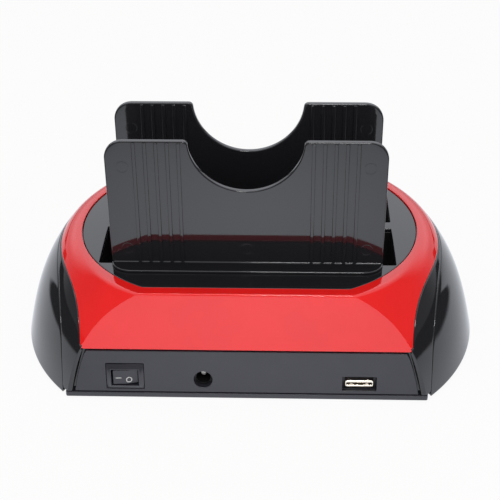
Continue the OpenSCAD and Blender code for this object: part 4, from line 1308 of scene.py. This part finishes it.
class DOCK_OT_power_switch(Operator):
    """Switch with a sloping frame, and its rocker with two marks"""

    bl_idname = "dock.power_switch"
    bl_label = "Power switch"
    bl_options = {"REGISTER", "UNDO"}

    def execute(self, context):
        b, p, k = context.scene.dock_body, context.scene.dock_panels, context.scene.dock_switch
        at = face_matrix(b, -1) @ Matrix.Translation((middle("switch_housing").x, p.switch_up, 0))
        finishes = ["black_plastic_satin", "black_plastic_matt"]
        piece("switch_frame", "switch_housing", self.housing(p), at, finishes)
        at = at @ Matrix.Translation((0, 0, -k.axis_in)) @ Matrix.Rotation(math.radians(k.tilt), 4, "Y")
        piece("switch_rocker_cap", "switch_rocker", self.rocker(k), at)
        piece(
            "switch_marks", "switch_rocker", self.marks(k), at, finishes=["mark_print"] * 2,
            slot="pale_plastic", stands_for_node=False,
        )
        return {"FINISHED"}

    def housing(self, p):
        """Frame that slopes up to the opening, with the walls of the pocket and its floor."""
        w, h, bevel, proud = p.switch_open_w / 2, p.switch_open_h / 2, p.switch_bevel, p.switch_proud
        depth, pocket_d, body_w, overlap = 14.4 * MM, 6.4 * MM, 1.2 * MM, 0.1 * MM
        back, floor, seat = -depth, proud - pocket_d, -p.set_back - 0.8 * MM
        profile = (
            (body_w, back), (body_w, seat), (bevel, seat), (bevel, seat + 0.4 * MM),
            (bevel - 0.1 * MM, seat + 0.55 * MM), (0.5 * MM, proud - 0.1 * MM), (0.35 * MM, proud),
            (0.12 * MM, proud), (0, proud - 0.12 * MM), (0, floor), (0, back),
        )
        corners = ((1, -1), (1, 1), (-1, 1), (-1, -1))
        sections = [
            [Vector((sx * (w + out), sy * (h + out), up)) for out, up in profile] for sx, sy in corners
        ]
        yield swept("frame", sections, True)
        yield block("floor", (-w - overlap, -h - overlap, back), (w + overlap, h + overlap, floor), 0)

    def rocker(self, k):
        """Two slopes that meet in a ridge over the axis, and the pins they turn on."""
        w, h = k.width / 2, k.height / 2
        edge = k.crown - w * math.tan(math.radians(k.slope))
        ridge_w, ridge_fall, corner_r, side_h = 0.25 * MM, 0.03 * MM, 0.4 * MM, 1.0 * MM
        ridge = [(ridge_w, k.crown - ridge_fall), (0, k.crown), (-ridge_w, k.crown - ridge_fall)]
        left = arc(-w + corner_r, edge - corner_r + 0.02 * MM, corner_r, 85, 180, steps=4)
        left += [Vector((-w, edge - side_h)), Vector((-3 * MM, -2.2 * MM))]
        loop = [Vector(point) for point in ridge] + left + mirrored(left)
        pin_r, pin_reach = 0.8 * MM, h + 1.3 * MM
        pins = turned("pins", rounded_rod(pin_r, -pin_reach, pin_reach, edge_r=0.15 * MM), steps=24)
        for mesh in (plate("rocker", [loop], -h, h, edge_r=0.3 * MM), pins):
            yield placed(mesh, upright(0, 0, 0))

    def marks(self, k):
        """Plain bar and ring printed on the two slopes."""
        slope = math.radians(k.slope)
        bar = [centred(1.25 * MM, 0.18 * MM, corner_r=0.08 * MM, steps=2)]
        ring = [circle(0, 0, 1.35 * MM), hole(circle(0, 0, 0.95 * MM))]
        for side, x, up, loops in ((-1, -3.1 * MM, -0.3 * MM, bar), (1, 1.4 * MM, -1.4 * MM, ring)):
            on_slope = Matrix.Translation((x, up, k.crown - abs(x) * math.tan(slope)))
            on_slope = on_slope @ Matrix.Rotation(side * slope, 4, "Y")
            yield placed(plate("mark", loops, -k.mark_t, k.mark_t, edge_r=0.01 * MM), on_slope)


class DOCK_OT_data_port(Operator):
    """Flat data port: metal shell with rolled lips, two springs and a tongue"""

    bl_idname = "dock.data_port"
    bl_label = "Data port"
    bl_options = {"REGISTER", "UNDO"}

    def execute(self, context):
        a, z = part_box("data_port_shell")
        ahead, drop = 0.9 * MM, 0.4 * MM
        depth = z.y - a.y + ahead
        at = upright((a.x + z.x) / 2, a.y - ahead, (a.z + z.z) / 2 - drop)
        w, h, wall = 6.1 * MM, 1.9 * MM, 0.4 * MM
        piece("data_port_lips", "data_port_shell", self.shell(w, h, wall, depth), at)
        inside, root_front, root_play = -depth + wall, -depth + 2.4 * MM, 0.45 * MM
        lowest, highest = (-5 * MM, -0.5 * MM, inside), (5 * MM, 0.45 * MM, -2.6 * MM)
        tongue = block("tongue", lowest, highest, edge_r=0.15 * MM)
        lowest, highest = (-w + root_play, -h + root_play, inside), (w - root_play, h - root_play, root_front)
        root = block("root", lowest, highest, edge_r=0.1 * MM)
        piece("data_port_blade", "data_port_tongue", [tongue, root], at)
        lowest, highest = (-0.5 * MM, -0.75 * MM, root_front), (0.5 * MM, -0.45 * MM, -3.2 * MM)
        strip = block("strip", lowest, highest, edge_r=0.08 * MM)
        strips = repeated("strips", strip, finish_for("gold_contact"), columns=4, width=7.2 * MM)
        piece("data_port_strips", "data_port_contacts", [strips], at)
        return {"FINISHED"}

    def shell(self, w, h, wall, depth):
        """Rolled lips, the tube behind them, its back and the two springs."""
        lip_w, mouth_half_h, slim, end_play = 0.6 * MM, 0.66 * MM, 0.06 * MM, 0.2 * MM
        outer = centred(w, h, corner_r=0.9 * MM, steps=6)
        mouth = centred(w - lip_w, mouth_half_h, corner_r=0.4 * MM, steps=5)
        tube_outer = centred(w - slim, h - slim, corner_r=0.85 * MM, steps=6)
        tube_inner = centred(w - wall, h - wall, corner_r=0.6 * MM, steps=5)
        lowest, highest = (-0.65 * MM, -0.55 * MM, -2.4 * MM), (0.65 * MM, -0.1 * MM, -0.5 * MM)
        spring = block("spring", lowest, highest, edge_r=0.18 * MM, segments=3)
        x, y = w - end_play, h - end_play
        return (
            plate("lips", [outer, hole(mouth)], -1.1 * MM, 0, edge_r=0.28 * MM),
            plate("tube", [tube_outer, hole(tube_inner)], -depth + 0.1 * MM, -0.8 * MM, edge_r=0.05 * MM),
            block("back", (-x, -y, -depth), (x, y, -depth + wall), edge_r=0.1 * MM),
            repeated("springs", spring, finish_for("plated_shell"), columns=2, width=6.6 * MM),
        )


class DOCK_OT_control_panel(Operator):
    """Inset satin panel on the side away from the ports"""

    bl_idname = "dock.control_panel"
    bl_label = "Control panel"
    bl_options = {"REGISTER", "UNDO"}

    def execute(self, context):
        b, p = context.scene.dock_body, context.scene.dock_panels
        bottom, up = panel_low(b, p), control_up(b, p)
        outer = rectangle(-p.control_half_w, bottom, p.control_half_w, bottom + p.height, corner_r=0.6 * MM)
        holes = [hole(circle(0, up, BUTTON_HOLE_R, steps=48))]
        holes += [hole(circle(x, up, LIGHT_HOLE_R, steps=28)) for x in LIGHT_X]
        panel = plate("panel", [outer, *holes], -p.set_back - p.thickness, -p.set_back, p.edge_r)
        piece("satin_control_panel", "control_panel", [panel], face_matrix(b, 1))
        return {"FINISHED"}


def in_mm(profile):
    """Profile written in millimetres, in metres."""
    return [(radius * MM, up * MM) for radius, up in profile]


class DOCK_OT_controls(Operator):
    """Round button with a shallow dish, and the two domed lights beside it"""

    bl_idname = "dock.controls"
    bl_label = "Button and lights"
    bl_options = {"REGISTER", "UNDO"}

    def execute(self, context):
        b, p = context.scene.dock_body, context.scene.dock_panels
        at = face_matrix(b, 1) @ Matrix.Translation((0, control_up(b, p), 0))
        button = in_mm((
            (0, -6.7), (1.6, -6.7), (1.6, -3.7), (6.1, -3.7), (6.2, -3.6), (6.2, -2.8), (6.1, -2.7),
            (5, -2.7), (5, 0.45), (4.92, 0.65), (4.75, 0.77), (4.5, 0.8), (4.1, 0.78), (3, 0.6),
            (1.5, 0.5), (0, 0.47),
        ))
        piece("button_cap", "backup_button", [turned("cap", button, steps=56)], at)
        pipe = in_mm(((0, -6.7), (1.5, -6.7), (1.5, 0.05), (1.42, 0.18), (1.1, 0.27), (0.6, 0.3), (0, 0.3)))
        pair = repeated(
            "pair", turned("pipe", pipe, steps=28), finish_for("clear_plastic"), columns=2,
            width=LIGHT_X[1] - LIGHT_X[0], centre=((LIGHT_X[0] + LIGHT_X[1]) / 2, 0, 0),
        )
        piece("light_pipes", "indicator_lights", [pair], at)
        return {"FINISHED"}


class DOCK_OT_underside(Operator):
    """Rubber feet with rounded rims, and the screws that hold the tray and the board"""

    bl_idname = "dock.underside"
    bl_label = "Feet and screws"
    bl_options = {"REGISTER", "UNDO"}

    def execute(self, context):
        foot = self.foot(high("rubber_feet").z)
        self.grid("soft_feet", "rubber_feet", "foot_rubber", FOOT_R, foot, steps=32)
        for name, node, head_end, tip_end in (
            ("tray_screws", "base_screws", low, high), ("pcb_screws", "board_screws", high, low),
        ):
            profile = self.screw(head_end(node).z, tip_end(node).z)
            self.grid(name, node, "screw_steel", HEAD_R, profile, steps=20)
        return {"FINISHED"}

    def grid(self, name, node, finish, radius, profile, steps):
        """Four like pieces at the corners of a node's box."""
        a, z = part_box(node)
        four = repeated(
            name + "_all", turned(name + "_one", profile, steps), finish_for(finish), columns=2, rows=2,
            width=z.x - a.x - 2 * radius, depth=z.y - a.y - 2 * radius,
            centre=((a.x + z.x) / 2, (a.y + z.y) / 2, 0),
        )
        piece(name, node, [four])

    def foot(self, top):
        """Profile of a foot with a shallow dish under it."""
        dish = in_mm(((0, 0.3), (3.6, 0.3), (4.1, 0.05), (4.4, 0), (5.5, 0), (5.85, 0.15), (6, 0.5)))
        return dish + [(FOOT_R, top), (0, top)]

    def screw(self, start, tip):
        """Profile of a screw from its head, with a recess, to its tip."""
        way = math.copysign(MM, tip - start)
        head = ((0, 1.0), (0.95, 1.0), (1.1, 0.1), (1.25, 0), (2.2, 0), (2.6, 0.4), (2.6, 1.6), (1.3, 1.6))
        points = [(radius * MM, start + rise * way) for radius, rise in head]
        return points + [(1.3 * MM, tip - 0.5 * way), (0.8 * MM, tip), (0, tip)]


class DOCK_OT_capacitors(Operator):
    """Round cans on the board, with a beaded rim and a flat top"""

    bl_idname = "dock.capacitors"
    bl_label = "Capacitors"
    bl_options = {"REGISTER", "UNDO"}

    def execute(self, context):
        a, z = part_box("board_capacitors")
        r, top, bead, rim_w, sunk = 3.2 * MM, z.z - a.z, 0.25 * MM, 0.6 * MM, 0.15 * MM
        profile = [(0, 0), (r - bead, 0), (r, bead)]
        profile += [(r, 0.8 * MM), (r - bead, 1.1 * MM), (r, 1.4 * MM)]
        profile += [(r, top - bead), (r - bead, top), (r - rim_w, top)]
        profile += [(r - rim_w - 0.1 * MM, top - sunk), (0, top - sunk)]
        second, third = 8.8 * MM, 29.0 * MM
        places = (a.x + r, a.x + r + second, a.x + r + third, z.x - r)
        y = (a.y + z.y) / 2
        cans = [placed(turned("can", profile, steps=32), Matrix.Translation((x, y, a.z))) for x in places]
        piece("round_cans", "board_capacitors", cans)
        return {"FINISHED"}


class DOCK_OT_stage(Operator):
    """Pale floor, white surroundings, studio lamps and the camera"""

    bl_idname = "dock.stage"
    bl_label = "Stage"
    bl_options = {"REGISTER", "UNDO"}

    def execute(self, context):
        self.floor(context.scene)
        self.surroundings(context.scene)
        self.lamp("Key softbox", place=(0.08, -0.75, 0.95), size=(0.22, 0.16), radiance=30)
        self.lamp("Overhead softbox", place=(-0.1, 0.15, 1.4), size=(0.8, 0.3), radiance=3)
        self.camera(context.scene)
        context.scene.view_settings.view_transform = "Standard"
        return {"FINISHED"}

    def floor(self, scene):
        """Wide pale floor that reads near white and keeps the shadow, and shows painted light in reflections.
        """
        reach, paleness, warmth_lost, blue_gained = 4, 0.92, -0.03, 0.07
        corners = [(x * reach, y * reach, 0) for x, y in ((-1, -1), (1, -1), (1, 1), (-1, 1))]
        mesh = bpy.data.meshes.new("floor")
        mesh.from_pydata(corners, [], [(0, 1, 2, 3)])
        obj = bpy.data.objects.new("studio_floor", mesh)
        scene.collection.objects.link(obj)
        material = bpy.data.materials.new("studio_floor")
        tree = empty_tree(material)
        path = node_of(tree, "ShaderNodeLightPath").outputs
        in_gloss = calculated(tree, "ADD", path["Is Glossy Ray"], path["Is Transmission Ray"])
        from_camera = calculated(tree, "MULTIPLY", path["Is Camera Ray"], paleness)
        # Painted cool tint: in reflections the floor reads bluer and less warm than its own white
        painted_cool_tint = node_of(
            tree, "ShaderNodeCombineColor", Green=1,
            Red=calculated(tree, "MULTIPLY_ADD", in_gloss, warmth_lost, 1),
            Blue=calculated(tree, "MULTIPLY_ADD", in_gloss, blue_gained, 1),
        )
        # In reflections the floor's strength follows a painted light level, not its own colour
        gained = calculated(tree, "MULTIPLY", calculated(tree, "SUBTRACT", self.painted_reflection_level(tree), 1), in_gloss)
        strength = calculated(tree, "ADD", gained, 1)
        glow = node_of(tree, "ShaderNodeEmission", Color=painted_cool_tint.outputs["Color"], Strength=strength)
        paper = node_of(tree, "ShaderNodeBsdfDiffuse", Color=(paleness, paleness, paleness, 1))
        seen = mixed(tree, calculated(tree, "ADD", in_gloss, from_camera), paper, glow)
        node_of(tree, "ShaderNodeOutputMaterial", Surface=seen.outputs[0])
        set_out(tree)
        mesh.materials.append(material)

    def painted_reflection_level(self, tree):
        """Painted level of the floor in reflections: white under the object and behind it, with a painted
        pool of light in front of it, painted dark beyond.
        """
        edge_w, waviness, dark = 0.016, 0.05, 0.06
        place = node_of(tree, "ShaderNodeTexCoord").outputs["Object"]
        axes = node_of(tree, "ShaderNodeSeparateXYZ", Vector=place).outputs
        half_w = ramp(tree, axes["Y"], (0.06, 0.18), (0.20, 0.47))
        past = calculated(tree, "SUBTRACT", calculated(tree, "ABSOLUTE", axes["X"]), half_w)
        waves = noise(tree, place, scale=9, detail=2)
        wavy = calculated(tree, "MULTIPLY_ADD", waves, waviness, -waviness / 2)
        within = ramp(tree, calculated(tree, "ADD", past, wavy), (-edge_w, edge_w), (1, dark))
        behind = ramp(tree, axes["Y"], (0.1, 0.25), (1, 0.8))
        ahead = ramp(tree, axes["Y"], (-0.6, -0.45), (0.3, 1))
        reach = node_of(tree, "ShaderNodeVectorMath")
        reach.operation = "DISTANCE"
        for socket, given in zip(reach.inputs, (place, (0, -0.16, 0))):
            feed(tree, socket, given)
        # Painted pool of light on the floor in front of the object, seen only in reflections
        painted_light_pool = ramp(tree, reach.outputs["Value"], (0.0, 0.2), (1.9, 1.0))
        level = calculated(tree, "MULTIPLY", within, painted_light_pool)
        level = calculated(tree, "MULTIPLY", level, behind)
        return calculated(tree, "MULTIPLY", level, ahead)

    def surroundings(self, scene):
        """White world, a plain level for diffuse light, and a studio seen only in reflections."""
        white, cool_white, least = (1, 1, 1, 1), (0.96, 0.98, 1.05, 1), 0.36
        scene.world = bpy.data.worlds.new("Studio")
        tree = empty_tree(scene.world)
        path = node_of(tree, "ShaderNodeLightPath").outputs
        direction = node_of(tree, "ShaderNodeTexCoord").outputs["Generated"]
        axes = node_of(tree, "ShaderNodeSeparateXYZ", Vector=direction).outputs
        back = ramp(tree, axes["Y"], (0.2, 0.8), (0, 1))
        lift = ramp(tree, axes["Z"], (0.1, 0.45), (0.55, 1.55))
        overhead = ramp(tree, axes["Z"], (0.6, 0.8), (0.25, 1.5))
        level = calculated(tree, "ADD", calculated(tree, "MULTIPLY", back, lift), overhead)
        ahead = ramp(tree, axes["Y"], (-0.6, 0.2), (0.72, 0))
        low_down = ramp(tree, axes["Z"], (0.4, 0.85), (1, 0.1))
        front = calculated(tree, "MULTIPLY", ahead, low_down)
        studio = node_of(tree, "ShaderNodeBackground", Color=cool_white, Strength=level)
        plain = node_of(
            tree, "ShaderNodeBackground", Color=white, Strength=calculated(tree, "ADD", front, least)
        )
        sky = node_of(tree, "ShaderNodeBackground", Color=white, Strength=1)
        seen = calculated(tree, "ADD", path["Is Camera Ray"], path["Is Transmission Ray"])
        around = mixed(tree, seen, mixed(tree, path["Is Glossy Ray"], plain, studio), sky)
        node_of(tree, "ShaderNodeOutputWorld", Surface=around.outputs[0])
        set_out(tree)

    def lamp(self, name, place, size, radiance):
        """Softbox that faces the object, with its brightness given as radiance."""
        data = bpy.data.lights.new(name, "AREA")
        data.shape = "RECTANGLE"
        data.size, data.size_y = size
        data.energy = radiance * math.pi * size[0] * size[1]
        obj = bpy.data.objects.new(name, data)
        obj.location = place
        aim = Vector((0, 0, 0.05)) - Vector(place)
        obj.rotation_euler = aim.to_track_quat("-Z", "Y").to_euler()
        bpy.context.scene.collection.objects.link(obj)

    def camera(self, scene):
        """Camera at the photograph's place."""
        pitch, yaw, roll = math.radians(33.0), math.radians(-1.91), math.radians(-0.51)
        ahead = Vector((math.sin(yaw) * math.cos(pitch), math.cos(yaw) * math.cos(pitch), -math.sin(pitch)))
        right = Vector((math.cos(yaw), -math.sin(yaw), 0))
        up = right.cross(ahead)
        turned_right = right * math.cos(roll) + up * math.sin(roll)
        turned_up = up * math.cos(roll) - right * math.sin(roll)
        data = bpy.data.cameras.new("Camera")
        data.lens = 85.84
        data.sensor_width = 36
        data.clip_start = 0.02
        obj = bpy.data.objects.new("Camera", data)
        axes = Matrix((turned_right, turned_up, -ahead)).transposed()
        obj.matrix_world = Matrix.Translation((0.01556, -0.46057, 0.33669)) @ axes.to_4x4()
        scene.collection.objects.link(obj)
        scene.camera = obj


class DOCK_OT_carried_nodes(Operator):
    """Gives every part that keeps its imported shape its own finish"""

    bl_idname = "dock.carried_nodes"
    bl_label = "Carried parts"
    bl_options = {"REGISTER", "UNDO"}

    def execute(self, context):
        for name, obj in frame["nodes"].items():
            obj.data.materials.clear()
            obj.data.materials.append(finish_for(SLOT_OF[name]))
        return {"FINISHED"}


class DOCK_PT_sidebar(Panel):
    """Lists the pieces of the docking station"""

    bl_idname = "DOCK_PT_sidebar"
    bl_label = "Drive Dock"
    bl_space_type = "VIEW_3D"
    bl_region_type = "UI"
    bl_category = SIDEBAR_TAB

    def draw(self, context):
        for operator in OPERATORS:
            self.layout.operator(operator.bl_idname)


GROUPS = {
    "dock_body": DockBody, "dock_covers": DockCovers, "dock_panels": DockPanels, "dock_switch": DockSwitch,
    "dock_guides": DockGuides, "dock_finishes": DockFinishes,
}
OPERATORS = (
    DOCK_OT_carried_nodes, DOCK_OT_top_cover, DOCK_OT_side_covers, DOCK_OT_body_shell, DOCK_OT_base_tray,
    DOCK_OT_deck, DOCK_OT_bay_liners, DOCK_OT_guide_plates, DOCK_OT_port_panel, DOCK_OT_power_switch,
    DOCK_OT_data_port, DOCK_OT_control_panel, DOCK_OT_controls, DOCK_OT_underside, DOCK_OT_capacitors,
    DOCK_OT_stage,
)


def register():
    """Registers the settings, the operators and the sidebar panel."""
    for cls in (*GROUPS.values(), *OPERATORS, DOCK_PT_sidebar):
        bpy.utils.register_class(cls)
    for name, group in GROUPS.items():
        setattr(bpy.types.Scene, name, PointerProperty(type=group))


def unregister():
    """Removes the settings, the operators and the sidebar panel."""
    for name in GROUPS:
        delattr(bpy.types.Scene, name)
    for cls in reversed((*GROUPS.values(), *OPERATORS, DOCK_PT_sidebar)):
        bpy.utils.unregister_class(cls)


def main():
    """Builds everything."""
    register()
    for operator in OPERATORS:
        family, name = operator.bl_idname.split(".")
        getattr(getattr(bpy.ops, family), name)()


if __name__ == "__main__":
    main()
